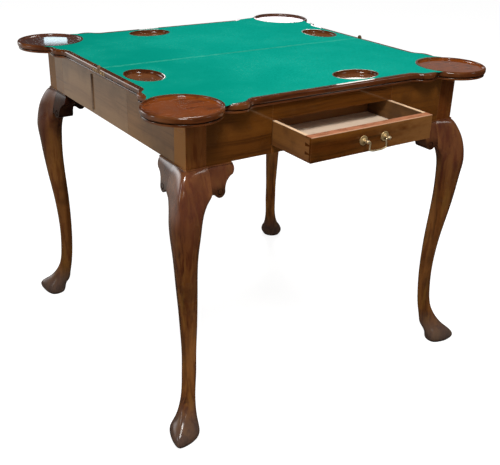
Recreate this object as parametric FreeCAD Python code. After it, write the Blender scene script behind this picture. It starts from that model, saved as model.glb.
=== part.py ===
import FreeCAD, Part
import math
import os

# Concertina-action card table, open for play with its drawer pulled out.
# Two shaped leaves meet at a hinged joint across the middle. The front leaf is screwed to a fixed
# front frame, and the fly leaf folds over onto it. The back legs belong to a back frame, which is
# joined to the front frame by two pairs of folding side panels, so that the table closes to half
# its depth. A lock slide runs back under the leaves to hold the panels open.
#
# The model is built with +X to the right along the drawer front, +Y towards the back and +Z up.
# The frieze box is centred on X = 0 and Y = 0 while the pieces are made, and each piece is moved
# along Y when it is saved, so that the origin is on the floor under the middle of the whole part.
# All lengths are in millimetres.

Vector = FreeCAD.Vector
UP = Vector(0, 0, 1)
ORIGIN = Vector(0, 0, 0)

# Whole table
table_height = 720.0
frieze_width = 703.0
frieze_depth = 699.0
frieze_height = 102.0
top_thickness = 18.0

# Gaps between pieces that move past each other, and the overrun of every cut
slide_gap = 0.3
leaf_gap = 0.5
under_leaf_gap = 0.5
match_tolerance = 0.06
pin_gap = 0.05
cut_overrun = 5.0

# Outline of the top
side_overhang = 15.0
front_overhang = 9.5
disc_radius = 79.0
disc_inset_x = 3.5
disc_inset_y = 16.5
notch_angle = 22.5
notch_round = 3.0
ear_projection = 18.5
ogee_start = 146.0
ogee_end = 106.0

# Edge moulding of the top: a rounded nosing over a quirk and a small bead
nosing_height = 12.5
nosing_top_round = 4.5
nosing_bottom_round = 3.5
quirk_height = 1.0
quirk_depth = 5.0
bead_inset = 2.5
bead_round = 1.8

# Baize, candle dishes and counter wells
baize_thickness = 1.0
baize_rim = 11.0
baize_corner_angle = 9.0
dish_radius = 74.0
dish_depth = 4.5
dish_cove = 3.5
well_length = 105.0
well_width = 76.0
well_depth = 9.0
well_cove = 6.0
well_lip = 2.5
well_inset = 59.0
side_well_y = 98.0
front_well_x = 93.0

# Frame timber
post_size = 44.0
rail_thickness = 20.0
front_rail_thickness = 22.0
drawer_opening_width = 313.0
drawer_opening_height = 51.5
bottom_rail_height = 16.5

# Cabriole legs. Reaches are measured along the diagonal that runs out of each corner of the frieze.
knee_reach = 45.0
knee_width = 67.0
knee_hollow = 15.0
knee_wing = 47.0
ankle_diameter = 31.0
ankle_setback = 8.0
foot_reach = 83.0
foot_heel = 10.0
foot_width = 66.0
shin_set_out = 9.0

# Knee brackets
bracket_length = 61.0
bracket_depth = 24.0
nose_height = 23.5
nose_slant = 4.5
scroll_radius = 12.0
scroll_drop = 52.0
scroll_offset = 23.5
scroll_eye_radius = 4.2
scroll_groove = 2.6
scroll_groove_depth = 1.6
scroll_rise = math.radians(-12)
scroll_level_share = 0.80
# How far a bracket's front lies behind the knee's where they meet.
bracket_set_back = 0.3
lip_height = 3.0
lip_reach = 2.6

# Folding side panels. The two joints at the ends of a pair turn about pins in the plane of the
# inner faces, and the joint between the two panels turns about a pin just outside the outer face.
side_rail_length = 201.5
back_stub_length = 49.5
panel_end_gap = 0.3
mid_pin_offset = 0.3

# Hinges of the folding side panels
plate_thickness = 2.5
plate_height = 60.0
plate_length = 26.0
plate_z_share = 0.45
strap_height = 22.0
strap_length = 66.0
knuckle_radius = 3.2
frame_pin_radius = 1.6
barrel_radius = 2.8
barrel_pin_radius = 1.4
barrel_leaf_thickness = 1.5
barrel_margin = 12.0
barrel_middle_share = 0.4
pin_head_radius = 2.7
pin_head_height = 3.0

# Card hinges at the joint between the leaves
card_plate_length = 32.0
card_plate_thickness = 3.0
card_plate_height = 9.0
card_plate_drop = 3.0
card_eye_radius = 6.0
card_pin_radius = 1.8
card_axis_rise = 0.2
card_neck_shares = (1.5, 0.5)

# Ties, runners and blocks inside the front frame
cross_rail_thickness = 20.0
cross_rail_setback = 26.0
cross_rail_lap = 6.0
runner_width = 16.0
runner_guide_width = 10.0
runner_guide_height = 22.0
runner_height = 16.2
bearer_width = 14.0
bearer_height = 18.0
block_size = 20.0
block_margin = 12.0

# Lock slide
slide_thickness = 14.0
slide_length = 176.0
slide_side_gap = 1.0
slide_front_gap = 2.5
slide_pull_radius = 6.5
slide_pull_length = 10.0
slide_pull_round = 2.5
slide_pull_neck = 3.5
slide_pull_neck_length = 8.0

# Drawer
drawer_pull_out = 124.0
drawer_side_gap = 0.75
drawer_head_gap = 1.2
drawer_back_gap = 5.0
drawer_front_thickness = 19.0
drawer_side_thickness = 7.5
drawer_back_thickness = 8.0
drawer_bottom_thickness = 5.0
drawer_bottom_rise = 5.0
drawer_groove_depth = 3.0
drawer_back_drop = 5.0
tail_length = 13.0
tail_count = 3
tail_splay = 2.0
tail_width_share = 0.28

# Drawer handle: two roses, each with a post that carries one end of a swan-neck bail
handle_span = 55.0
rose_radius = 10.0
rose_edge = 0.7
rose_thickness = 1.8
rose_boss_radius = 6.0
rose_boss_top = 3.6
rose_boss_height = 2.0
handle_post_radius = 2.4
handle_post_reach = 13.0
handle_eye_radius = 4.0
handle_eye_side = 2.9
handle_nut_radius = 5.0
handle_nut_thickness = 3.0
bail_radius = 1.5
bail_drop = 17.0
bail_sag = 3.5
bail_inset = 7.5
bail_flare = 2.0
bail_corner = 3.0
bail_bend = 4.0
bail_pin_end = 4.6
bail_gap = 0.08
bail_bend_share = 0.45

# Screws that hold the front leaf to the rail over the drawer
screw_radius = 2.0
screw_head_radius = 4.0
screw_head_height = 2.5
screw_into_leaf = 7.0
screw_spread = 110.0
screw_spread_shares = (-1.0, -0.34, 0.34, 1.0)
screw_set_in = 3.0

# Levels and planes that follow from the sizes
leg_height = table_height - top_thickness - frieze_height
frieze_top = leg_height + frieze_height
frieze_x = frieze_width / 2
frieze_y = frieze_depth / 2
inner_x = frieze_x - rail_thickness
post_inner_x = frieze_x - post_size
post_inner_y = frieze_y - post_size
front_inner_y = frieze_y - front_rail_thickness
side_edge_x = frieze_x + side_overhang
front_edge_y = frieze_y + front_overhang
side_well_x = side_edge_x - well_inset
front_well_y = front_edge_y - well_inset
post_diagonal = post_size * math.sqrt(2)
knee_bulge = knee_reach / math.sqrt(2)
ankle_middle = -ankle_setback
ankle_front = ankle_middle + ankle_diameter / 2
ankle_back = ankle_middle - ankle_diameter / 2
foot_span = foot_reach - foot_heel
disc_x = frieze_x - disc_inset_x
disc_y = frieze_y - disc_inset_y
opening_x = drawer_opening_width / 2
opening_bottom = leg_height + bottom_rail_height
opening_top = opening_bottom + drawer_opening_height
front_panel_start = post_inner_y - side_rail_length
panel_length = (post_inner_y + front_panel_start - back_stub_length) / 2
front_pin_y = -front_panel_start - rail_thickness
mid_pin_y = -front_panel_start + panel_length
rear_joint_y = mid_pin_y + panel_length
rear_pin_y = rear_joint_y + rail_thickness
mid_pin_x = frieze_x + mid_pin_offset
cross_rail_start = front_panel_start + cross_rail_setback
panel_top = frieze_top - under_leaf_gap
plate_middle_z = leg_height + frieze_height * plate_z_share
slide_top = frieze_top - under_leaf_gap
slide_bottom = slide_top - slide_thickness
bearer_top = slide_bottom - slide_gap
nosing_bottom = table_height - nosing_height
card_axis_z = table_height + card_axis_rise
drawer_front_y = -frieze_y - drawer_pull_out
handle_reach = handle_post_reach + handle_eye_radius
front_extreme = drawer_front_y - handle_reach
back_extreme = disc_y + disc_radius
frame_shift = Vector(0, -(front_extreme + back_extreme) / 2, 0)

os.makedirs("parts", exist_ok=True)


def save(name, shapes):
    """Saves one node, made of one solid or of several separate ones, moved to the part's origin."""
    group = shapes if isinstance(shapes, list) else [shapes]
    solids = [solid.copy() for shape in group for solid in shape.Solids]
    for solid in solids:
        solid.translate(frame_shift)
    node = solids[0] if len(solids) == 1 else Part.makeCompound(solids)
    node.exportStep("parts/" + name + ".step")


def block(low, high):
    """A box between two opposite corners, given in any order."""
    corner = [min(a, b) for a, b in zip(low, high)]
    size = [abs(a - b) for a, b in zip(low, high)]
    return Part.makeBox(size[0], size[1], size[2], Vector(*corner))


def rod(radius, start, end):
    """A round bar from one point to another."""
    along = Vector(*end) - Vector(*start)
    return Part.makeCylinder(radius, along.Length, Vector(*start), along)


def across_x(shape):
    """The mirror image on the other side of the middle plane X = 0."""
    return shape.mirror(ORIGIN, Vector(1, 0, 0))


def across_y(shape):
    """The mirror image on the other side of the middle plane Y = 0."""
    return shape.mirror(ORIGIN, Vector(0, 1, 0))


def pair_x(shape):
    """A piece and its mirror image across X = 0."""
    return [shape, across_x(shape)]


def prism(points, direction):
    """A straight-sided outline through the points, pushed along a direction."""
    wire = Part.makePolygon(list(points) + [points[0]])
    return Part.Face(wire).extrude(direction)


def tangent_arc(start, tangent, end):
    """An arc that leaves start along tangent and reaches end, within a half turn."""
    chord = end - start
    normal = chord - tangent * chord.dot(tangent)
    normal.normalize()
    radius = chord.dot(chord) / (2 * chord.dot(normal))
    centre = start + normal * radius
    middle = (start - centre) + (end - centre)
    middle.normalize()
    return Part.Arc(start, centre + middle * radius, end).toShape()


def ogee(start, tangent, end):
    """Two equal arcs that swing from start to a parallel line through end."""
    middle = (start + end) * 0.5
    return [tangent_arc(start, tangent, middle), tangent_arc(end, tangent * -1, middle)]


# The top


def corner_edges(inset):
    """The outline of the corner with X and -Y positive, from the joint round the disc to X = 0."""
    side = side_edge_x - inset
    front = -front_edge_y + inset
    crest_x = side + ear_projection
    crest_y = front - ear_projection
    disc = Vector(disc_x, -disc_y, 0)
    radius = disc_radius - inset
    angle = math.radians(notch_angle)
    side_notch = disc + Vector(math.sin(angle), math.cos(angle), 0) * radius
    front_notch = disc + Vector(-math.cos(angle), -math.sin(angle), 0) * radius
    outer = disc + Vector(1, -1, 0).normalize() * radius
    joint = Vector(side, -leaf_gap / 2, 0)
    side_start = Vector(side, -disc_y + ogee_start, 0)
    side_crest = Vector(crest_x, -disc_y + ogee_end, 0)
    front_crest = Vector(disc_x - ogee_end, crest_y, 0)
    front_start = Vector(disc_x - ogee_start, front, 0)
    forward = Vector(0, -1, 0)
    outward = Vector(1, 0, 0)
    edges = [Part.makeLine(joint, side_start)]
    edges += ogee(side_start, forward, side_crest)
    edges.append(tangent_arc(side_crest, forward, side_notch))
    edges.append(Part.Arc(side_notch, outer, front_notch).toShape())
    edges.append(tangent_arc(front_crest, outward, front_notch))
    edges += ogee(front_start, outward, front_crest)
    edges.append(Part.makeLine(front_start, Vector(0, front, 0)))
    return edges


def leaf_face(inset):
    """The outline of the front leaf, drawn in by an inset, as a flat face."""
    right = corner_edges(inset)
    left = [across_x(edge) for edge in right]
    joint_x = side_edge_x - inset
    joint = Part.makeLine(Vector(joint_x, -leaf_gap / 2, 0), Vector(-joint_x, -leaf_gap / 2, 0))
    wire = Part.Wire(Part.__sortEdges__(right + left + [joint]))
    return Part.Face(wire)


def is_on_joint(edge):
    """True for an edge that lies in the face where the two leaves meet."""
    return all(abs(vertex.Y + leaf_gap / 2) < match_tolerance for vertex in edge.Vertexes)


def rim_edges(solid, level):
    """The edges of a slab at one level, without those of the joint between the leaves."""
    found = []
    for edge in solid.Edges:
        box = edge.BoundBox
        flat = box.ZMax - box.ZMin < match_tolerance and abs(box.ZMin - level) < match_tolerance
        if flat and not is_on_joint(edge):
            found.append(edge)
    return found


def leaf_slab(inset, bottom, height, top_round, bottom_round):
    """One layer of the leaf's edge moulding, with its notches softened and its edges rounded."""
    face = leaf_face(inset)
    face.translate(Vector(0, 0, bottom))
    slab = face.extrude(Vector(0, 0, height))
    reach = disc_radius - inset
    notches = []
    for edge in slab.Edges:
        box = edge.BoundBox
        upright = box.ZLength > height / 2
        away = math.hypot(abs(box.XMin) - disc_x, abs(box.YMin) - disc_y)
        if upright and abs(away - reach) < match_tolerance and box.YMin < 0:
            notches.append(edge)
    slab = slab.makeFillet(notch_round, notches)
    if top_round:
        slab = slab.makeFillet(top_round, rim_edges(slab, bottom + height))
    if bottom_round:
        slab = slab.makeFillet(bottom_round, rim_edges(slab, bottom))
    return slab


def bottom_edges(solid, level):
    """The edges of a cutter's flat bottom."""
    return [edge for edge in solid.Edges if edge.BoundBox.ZMax < level + match_tolerance]


def dish(centre, length, width, depth, cove):
    """A round or oval hollow with a coved wall. The longer size runs along X."""
    bottom = table_height - depth
    middle = Vector(centre[0], centre[1], bottom)
    if length > width:
        curve = Part.Ellipse(middle, length / 2, width / 2).toShape()
    else:
        curve = Part.makeCircle(length / 2, middle)
    hollow = Part.Face(Part.Wire([curve])).extrude(Vector(0, 0, depth + cut_overrun))
    return hollow.makeFillet(cove, bottom_edges(hollow, bottom))


def oval_well(x, y, turned, grow, depth, cove):
    """One counter well. A turned well has its long side along Y."""
    hollow = dish((0, 0), well_length + grow * 2, well_width + grow * 2, depth, cove)
    if turned:
        hollow.rotate(ORIGIN, UP, 90)
    hollow.translate(Vector(x, y, 0))
    return hollow


well_places = [(-side_well_x, -side_well_y, True), (front_well_x, -front_well_y, False)]


def baize_face():
    """The green field of the front leaf: the outline inside the rim, less the two discs."""
    side = side_edge_x - baize_rim
    front = -front_edge_y + baize_rim
    disc = Vector(disc_x, -disc_y, 0)
    angle = math.radians(notch_angle + baize_corner_angle)
    side_end = disc + Vector(math.sin(angle), math.cos(angle), 0) * disc_radius
    front_end = disc + Vector(-math.cos(angle), -math.sin(angle), 0) * disc_radius
    joint = Vector(side, -leaf_gap / 2, 0)
    side_start = Vector(side, -disc_y + ogee_start, 0)
    side_crest = Vector(side + ear_projection, -disc_y + ogee_end, 0)
    front_crest = Vector(disc_x - ogee_end, front - ear_projection, 0)
    front_start = Vector(disc_x - ogee_start, front, 0)
    forward = Vector(0, -1, 0)
    outward = Vector(1, 0, 0)
    edges = [Part.makeLine(joint, side_start)]
    edges += ogee(side_start, forward, side_crest)
    edges.append(tangent_arc(side_crest, forward, side_end))
    edges.append(Part.makeLine(side_end, disc))
    edges.append(Part.makeLine(disc, front_end))
    edges.append(tangent_arc(front_crest, outward, front_end))
    edges += ogee(front_start, outward, front_crest)
    edges.append(Part.makeLine(front_start, Vector(0, front, 0)))
    left = [across_x(edge) for edge in edges]
    middle = Part.makeLine(joint, Vector(-side, -leaf_gap / 2, 0))
    return Part.Face(Part.Wire(Part.__sortEdges__(edges + left + [middle])))


def make_baize():
    """The cloth of the front leaf, let in flush, with holes for the discs and wells."""
    face = baize_face()
    face.translate(Vector(0, 0, table_height - baize_thickness))
    cloth = face.extrude(Vector(0, 0, baize_thickness))
    for sign in (-1, 1):
        foot = Vector(sign * disc_x, -disc_y, table_height - baize_thickness - cut_overrun)
        cloth = cloth.cut(Part.makeCylinder(disc_radius, baize_thickness + cut_overrun * 2, foot))
    for x, y, turned in well_places:
        hole = oval_well(x, y, turned, well_lip, well_depth, well_cove)
        cloth = cloth.cut(hole)
    return cloth


def card_hinge_recess():
    """The hollows for one card hinge in the edge of a leaf: its plate, and the round of its eyes."""
    x_inner = side_edge_x - card_plate_thickness - slide_gap
    x_outer = side_edge_x + cut_overrun
    top = table_height - card_plate_drop
    plate = block((x_inner + slide_gap, -card_plate_length, top - card_plate_height),
                  (x_outer, cut_overrun, top))
    eye = rod(card_eye_radius + slide_gap * 2, (x_inner, 0, card_axis_z), (x_outer, 0, card_axis_z))
    return [plate, eye]


def make_leaf(cloth):
    """The front leaf: moulded edge, coved dishes at the corners, wells, and the bed of the cloth."""
    bead_height = top_thickness - nosing_height - quirk_height
    nosing = leaf_slab(0, nosing_bottom, nosing_height, nosing_top_round, nosing_bottom_round)
    quirk = leaf_slab(quirk_depth, nosing_bottom - quirk_height, quirk_height, 0, 0)
    bead = leaf_slab(bead_inset, frieze_top, bead_height, bead_round, 0)
    leaf = nosing.fuse([quirk, bead])
    cutters = [cloth]
    for sign in (-1, 1):
        place = (sign * disc_x, -disc_y)
        cutters.append(dish(place, dish_radius * 2, dish_radius * 2, dish_depth, dish_cove))
    for x, y, turned in well_places:
        cutters.append(oval_well(x, y, turned, 0, well_depth, well_cove))
    for recess in card_hinge_recess():
        cutters += pair_x(recess)
    return leaf.cut(cutters)


def card_hinge_plate(layer_low, layer_high):
    """One plate of a card hinge on the right edge of the front leaf, with its eye round the pin."""
    outer = side_edge_x
    top = table_height - card_plate_drop
    plate = block((outer - card_plate_thickness, -card_plate_length, top - card_plate_height),
                  (outer, -leaf_gap / 2, top))
    hidden = rod(card_eye_radius + slide_gap, (outer - card_plate_thickness, 0, card_axis_z),
                 (outer, 0, card_axis_z))
    eye = rod(card_eye_radius, (layer_low, 0, card_axis_z), (layer_high, 0, card_axis_z))
    neck = block((layer_low, -card_eye_radius * card_neck_shares[0], top - card_plate_height),
                 (layer_high, -card_eye_radius * card_neck_shares[1], top))
    eye = eye.fuse(neck.cut(block((layer_low, -leaf_gap / 2, top - card_plate_height),
                                  (layer_high, card_eye_radius, top))))
    return plate.cut(hidden).fuse(eye).removeSplitter()


def make_card_hinges():
    """The plates of both card hinges: on the front leaf, then on the fly leaf, and their pins."""
    inner = side_edge_x - card_plate_thickness
    middle = side_edge_x - card_plate_thickness / 2
    bore = rod(card_pin_radius + pin_gap, (inner - cut_overrun, 0, card_axis_z),
               (side_edge_x + cut_overrun, 0, card_axis_z))
    front = card_hinge_plate(inner, middle - pin_gap).cut(bore)
    fly = across_y(card_hinge_plate(middle + pin_gap, side_edge_x)).cut(bore)
    pin = rod(card_pin_radius, (inner, 0, card_axis_z), (side_edge_x, 0, card_axis_z))
    return front, fly, pin


def top_screw(x):
    """A screw up through the rail over the drawer into the front leaf, with its head sunk."""
    y = -frieze_y + front_rail_thickness / 2
    head_z = opening_top + screw_set_in
    head = rod(screw_head_radius, (x, y, head_z), (x, y, head_z + screw_head_height))
    shank_top = frieze_top + screw_into_leaf
    return head.fuse(rod(screw_radius, (x, y, head_z), (x, y, shank_top))).removeSplitter()


def top_screw_hole(x):
    """The hole for one of those screws, open from below."""
    y = -frieze_y + front_rail_thickness / 2
    low = opening_top - cut_overrun
    return rod(screw_head_radius, (x, y, low), (x, y, opening_top + screw_set_in))


# Legs and knee brackets

# Each row is one level of the leg: its height as a share of the leg's, then where the front, the back
# and the widest place of the section lie along the diagonal, its half width, and how full the curve
# is in front and behind, from 0, straight, to 0.55, round. The foot's places are shares of its reach
# beyond the heel, and its width is a share of the foot's.
foot_levels_shares = [
    (0.000, 0.85, 0.06, 0.36, 0.76, 0.30, 0.50),
    (0.012, 0.95, 0.03, 0.35, 0.91, 0.26, 0.52),
    (0.030, 1.00, 0.00, 0.32, 1.00, 0.24, 0.54),
    (0.050, 0.88, -0.08, 0.27, 0.92, 0.28, 0.54),
    (0.070, 0.64, -0.19, 0.16, 0.74, 0.36, 0.55),
    (0.103, 0.36, -0.26, 0.01, 0.57, 0.45, 0.55),
    (0.150, 0.13, -0.34, -0.11, 0.47, 0.50, 0.55),
]
# The shin's places run from the ankle, 0, to the knee, 1.
shin_levels_shares = [
    (0.230, 0.07, 0.33, 0.10, 0.00, 0.55, 0.55),
    (0.313, 0.01, 0.00, 0.00, 0.00, 0.55, 0.55),
    (0.417, 0.09, 0.00, 0.09, 0.14, 0.55, 0.55),
    (0.500, 0.25, 0.22, 0.30, 0.25, 0.54, 0.55),
    (0.583, 0.48, 0.60, 0.66, 0.36, 0.52, 0.55),
    (0.717, 0.80, 1.00, 1.00, 0.60, 0.48, 0.54),
    (0.783, 0.92, 0.90, 0.95, 0.86, 0.45, 0.54),
    (0.833, 1.00, 0.56, 0.62, 1.00, 0.44, 0.52),
]
# The knee bulges out from under the frieze. Its places run along the front of the bulge.
knee_levels_shares = [
    (0.860, 0.97, 0.37, 0.09, 1.06, 0.38, 0.48),
    (0.883, 0.92, 0.47, 0.25, 1.17, 0.28, 0.40),
]
bulge_levels_shares = [
    (0.908, 0.83, 0.68),
    (0.933, 0.70, 0.93),
    (0.963, 0.47, 1.00),
    (0.983, 0.27, 1.00),
    (0.995, 0.06, 1.00),
]
# How round the bulge's ridge is and how its sides run into the brackets, and how far it stands out
# at the end of the leg's own block, at the nose of the bracket and at the foot of the bracket.
bulge_ridge_share = 0.24
bulge_side_share = 0.30
bulge_at_wing_share = 0.66
bulge_at_nose_share = 0.42
bulge_foot_share = 0.86


def leg_sections():
    """The sections of the leg: height, front, back, widest place, half width and two curves."""
    sections = []
    for height, front, back, widest, half, curve, back_curve in foot_levels_shares:
        sections.append((height * leg_height, foot_heel + front * foot_span, foot_heel + back * foot_span,
                         foot_heel + widest * foot_span, half * foot_width / 2, curve, back_curve))
    ankle_half = ankle_diameter / 2
    for height, front, back, widest, half, curve, back_curve in shin_levels_shares:
        sections.append((height * leg_height,
                         ankle_front + (knee_reach - ankle_front) * front,
                         ankle_back + (-knee_hollow - ankle_back) * back,
                         ankle_middle + (shin_set_out - ankle_middle) * widest,
                         ankle_half + (knee_width / 2 - ankle_half) * half, curve, back_curve))
    for height, front, back, widest, half, curve, back_curve in knee_levels_shares:
        sections.append((height * leg_height, front * knee_reach, -post_diagonal * back,
                         -post_diagonal * widest, half * knee_width / 2, curve, back_curve))
    for height, bulge, back in bulge_levels_shares:
        out = bulge * knee_bulge
        wing_out = out * bulge_at_wing_share
        sections.append((height * leg_height, out * math.sqrt(2), -post_diagonal * back,
                         (wing_out - knee_wing) / math.sqrt(2), (wing_out + knee_wing) / math.sqrt(2),
                         bulge_ridge_share, bulge_ridge_share))
    return sections


def leg_section_wire(height, front, back, widest, half, curve, back_curve):
    """One closed section of the leg at the corner with X and Y positive, as four curves."""
    out = Vector(1, 1, 0).normalize()
    side = Vector(-1, 1, 0).normalize()
    corner = Vector(frieze_x, frieze_y, height)
    middle = corner + out * widest
    edges = []
    for reach, span, turn in ((front, half, curve), (back, half, back_curve),
                              (back, -half, back_curve), (front, -half, curve)):
        tip = corner + out * reach
        wing = middle + side * span
        poles = [tip, tip + side * (span * turn), wing + out * ((reach - widest) * turn), wing]
        if height > knee_levels_shares[-1][0] * leg_height:
            poles[2] = wing + (tip - wing) * bulge_side_share
        if (reach == back) == (span > 0):
            poles.reverse()
        edge = Part.BezierCurve()
        edge.setPoles(poles)
        edges.append(edge.toBSpline().toShape())
    return Part.Wire(edges)


def make_leg():
    """A cabriole leg in one piece with its corner post, at the corner with X and Y positive."""
    wires = [leg_section_wire(*section) for section in leg_sections()]
    leg = Part.makeLoft(wires, True, False)
    low = bulge_levels_shares[-1][0] * leg_height - match_tolerance
    post = block((post_inner_x, post_inner_y, low), (frieze_x, frieze_y, panel_top))
    lip = block((frieze_x - knee_wing, frieze_y - knee_wing, leg_height - lip_height),
                (frieze_x + lip_reach, frieze_y + lip_reach, leg_height))
    return leg.fuse([post, lip]).removeSplitter()


def make_bracket(leg):
    """The scrolled bracket beside a knee, under the rail along X, at the same corner."""
    x_in = post_inner_x + scroll_radius
    nose_x = post_inner_x - bracket_length
    z0 = leg_height
    scroll = Vector(post_inner_x - scroll_offset, 0, z0 - scroll_drop)
    tip = Vector(nose_x + nose_slant, 0, z0)
    nose = Vector(nose_x + nose_slant, 0, z0 - nose_height)
    nose_middle = Vector(nose_x, 0, z0 - nose_height / 2)
    throat = scroll + Vector(-scroll_radius, 0, 0)
    throat_edge = tangent_arc(throat, Vector(0, 0, 1), nose)
    low = scroll + Vector(0, 0, -scroll_radius)
    inner = scroll + Vector(math.cos(scroll_rise), 0, math.sin(scroll_rise)) * scroll_radius
    end = Vector(x_in, 0, inner.z)
    top = Vector(x_in, 0, z0)
    edges = [
        Part.makeLine(top, tip),
        Part.Arc(tip, nose_middle, nose).toShape(),
        throat_edge,
        Part.Arc(throat, low, inner).toShape(),
        Part.makeLine(inner, end),
        Part.makeLine(end, top),
    ]
    back = frieze_y - bracket_depth
    outline = Part.Face(Part.Wire(Part.__sortEdges__(edges)))
    outline.translate(Vector(0, back, 0))
    body = outline.extrude(Vector(0, bracket_depth + knee_reach, 0))
    bracket = body.common(bracket_bulge(x_in, nose_x - cut_overrun))
    face_y = frieze_y + bulge_at(scroll_level_share, scroll.x)
    groove = rod(scroll_eye_radius + scroll_groove, (scroll.x, face_y - scroll_groove_depth, scroll.z),
                 (scroll.x, face_y + cut_overrun, scroll.z))
    eye = rod(scroll_eye_radius, (scroll.x, back, scroll.z), (scroll.x, face_y + cut_overrun, scroll.z))
    return bracket.cut(groove.cut(eye)).cut(leg)


def bulge_at(bulge, x):
    """How far a bracket's front stands out from the frieze at a place along it."""
    out = bulge * knee_bulge
    wing = out * bulge_at_wing_share
    nose = out * bulge_at_nose_share
    wing_x = frieze_x - knee_wing
    nose_x = post_inner_x - bracket_length
    return wing + (nose - wing) * (wing_x - x) / (wing_x - nose_x) - bracket_set_back


def bracket_bulge(x_in, x_end):
    """The bulge of the knee carried on beside the leg, with the lip under the frieze."""
    back = frieze_y - bracket_depth
    rows = [(knee_levels_shares[0][0], bulge_foot_share)]
    rows += [(height, bulge) for height, bulge, _ in bulge_levels_shares]
    wires = []
    for height, bulge in rows:
        z = height * leg_height
        corners = [Vector(x_in, back, z), Vector(x_in, frieze_y + bulge_at(bulge, x_in), z),
                   Vector(x_end, frieze_y + bulge_at(bulge, x_end), z), Vector(x_end, back, z)]
        wires.append(Part.makePolygon(corners + corners[:1]))
    lip = block((x_in, back, leg_height - lip_height), (x_end, frieze_y + lip_reach, leg_height))
    return Part.makeLoft(wires, True, False).fuse(lip)


def across_diagonal(shape):
    """The mirror image across the diagonal through the corner with X and Y positive."""
    return shape.mirror(Vector(frieze_x, frieze_y, 0), Vector(1, -1, 0))


# Rails and inner pieces


def make_front_rail():
    """The right-hand length of the front frieze, beside the drawer."""
    return block((opening_x, -frieze_y, leg_height), (post_inner_x, -front_inner_y, panel_top))


def make_side_rail():
    """The fixed right-hand side rail, let out for its hinge with the front panel."""
    rail = block((inner_x, -post_inner_y, leg_height), (frieze_x, -front_panel_start - panel_end_gap / 2,
                                                        panel_top))
    return rail.cut(frame_hinge_recess())


def frame_hinge_levels():
    """The lowest and highest level of a frame hinge, and of the strap between them."""
    return (plate_middle_z - plate_height / 2, plate_middle_z + plate_height / 2,
            plate_middle_z - strap_height / 2, plate_middle_z + strap_height / 2)


def frame_hinge_recess():
    """The bed of a frame hinge in the inner face of the right side rail."""
    low, high, strap_low, strap_high = frame_hinge_levels()
    face = inner_x - cut_overrun
    plate = block((face, front_pin_y - plate_length, low), (inner_x + plate_thickness, front_pin_y, high))
    strap = block((face, front_pin_y, strap_low - slide_gap),
                  (inner_x + plate_thickness + slide_gap, -front_panel_start + cut_overrun,
                   strap_high + slide_gap))
    barrel = rod(knuckle_radius + slide_gap, (inner_x, front_pin_y, low - slide_gap),
                 (inner_x, front_pin_y, high + slide_gap))
    return [plate, strap, barrel]


def frame_hinge():
    """A frame hinge on the right side: the plate on the rail, the strap on the panel, the pin."""
    low, high, strap_low, strap_high = frame_hinge_levels()
    bore = rod(frame_pin_radius + pin_gap, (inner_x, front_pin_y, low - cut_overrun),
               (inner_x, front_pin_y, high + cut_overrun))
    middle = rod(knuckle_radius + slide_gap, (inner_x, front_pin_y, strap_low - slide_gap),
                 (inner_x, front_pin_y, strap_high + slide_gap))
    plate = block((inner_x, front_pin_y - plate_length, low), (inner_x + plate_thickness, front_pin_y, high))
    plate = plate.fuse(rod(knuckle_radius, (inner_x, front_pin_y, low), (inner_x, front_pin_y, high)))
    plate = plate.cut([middle, bore])
    strap_end = front_pin_y + rail_thickness + strap_length
    strap = block((inner_x, front_pin_y, strap_low), (inner_x + plate_thickness, strap_end, strap_high))
    strap = strap.fuse(rod(knuckle_radius, (inner_x, front_pin_y, strap_low),
                           (inner_x, front_pin_y, strap_high)))
    strap = strap.cut(bore)
    pin = rod(frame_pin_radius, (inner_x, front_pin_y, low), (inner_x, front_pin_y, high))
    return plate, strap, pin


def to_rear(shape):
    """Carries a piece of the front frame hinge to its mirror place at the rear joint."""
    middle = (front_pin_y + rear_pin_y) / 2
    return shape.mirror(Vector(0, middle, 0), Vector(0, 1, 0))


def barrel_levels():
    """The four levels that divide the barrel of the joint between two panels."""
    low = leg_height + barrel_margin
    high = panel_top - barrel_margin
    length = (high - low) * barrel_middle_share
    middle = (low + high) / 2
    return low, middle - length / 2, middle + length / 2, high


def make_panels(strap):
    """The front and rear folding panels of the right side."""
    seat = strap_seat(strap)
    half_gap = panel_end_gap / 2
    barrel_low, barrel_high = barrel_levels()[0], barrel_levels()[3]
    groove = rod(barrel_radius + slide_gap, (mid_pin_x, mid_pin_y, barrel_low - slide_gap - pin_head_height),
                 (mid_pin_x, mid_pin_y, barrel_high + slide_gap))
    front = block((inner_x, -front_panel_start + half_gap, leg_height), (frieze_x, mid_pin_y - half_gap,
                                                                         panel_top))
    bed = block((inner_x + barrel_leaf_thickness, mid_pin_y - half_gap - barrel_leaf_thickness, barrel_low),
                (frieze_x + cut_overrun, mid_pin_y, barrel_high))
    front = front.cut([seat, groove, bed])
    rear = front.mirror(Vector(0, mid_pin_y, 0), Vector(0, 1, 0))
    return front, rear


def strap_seat(strap):
    """The bed of a hinge strap in a panel, cut from the strap's own outline."""
    box = strap.BoundBox
    return block((inner_x - cut_overrun, -front_panel_start - cut_overrun, box.ZMin),
                 (inner_x + plate_thickness, box.YMax, box.ZMax))


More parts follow.
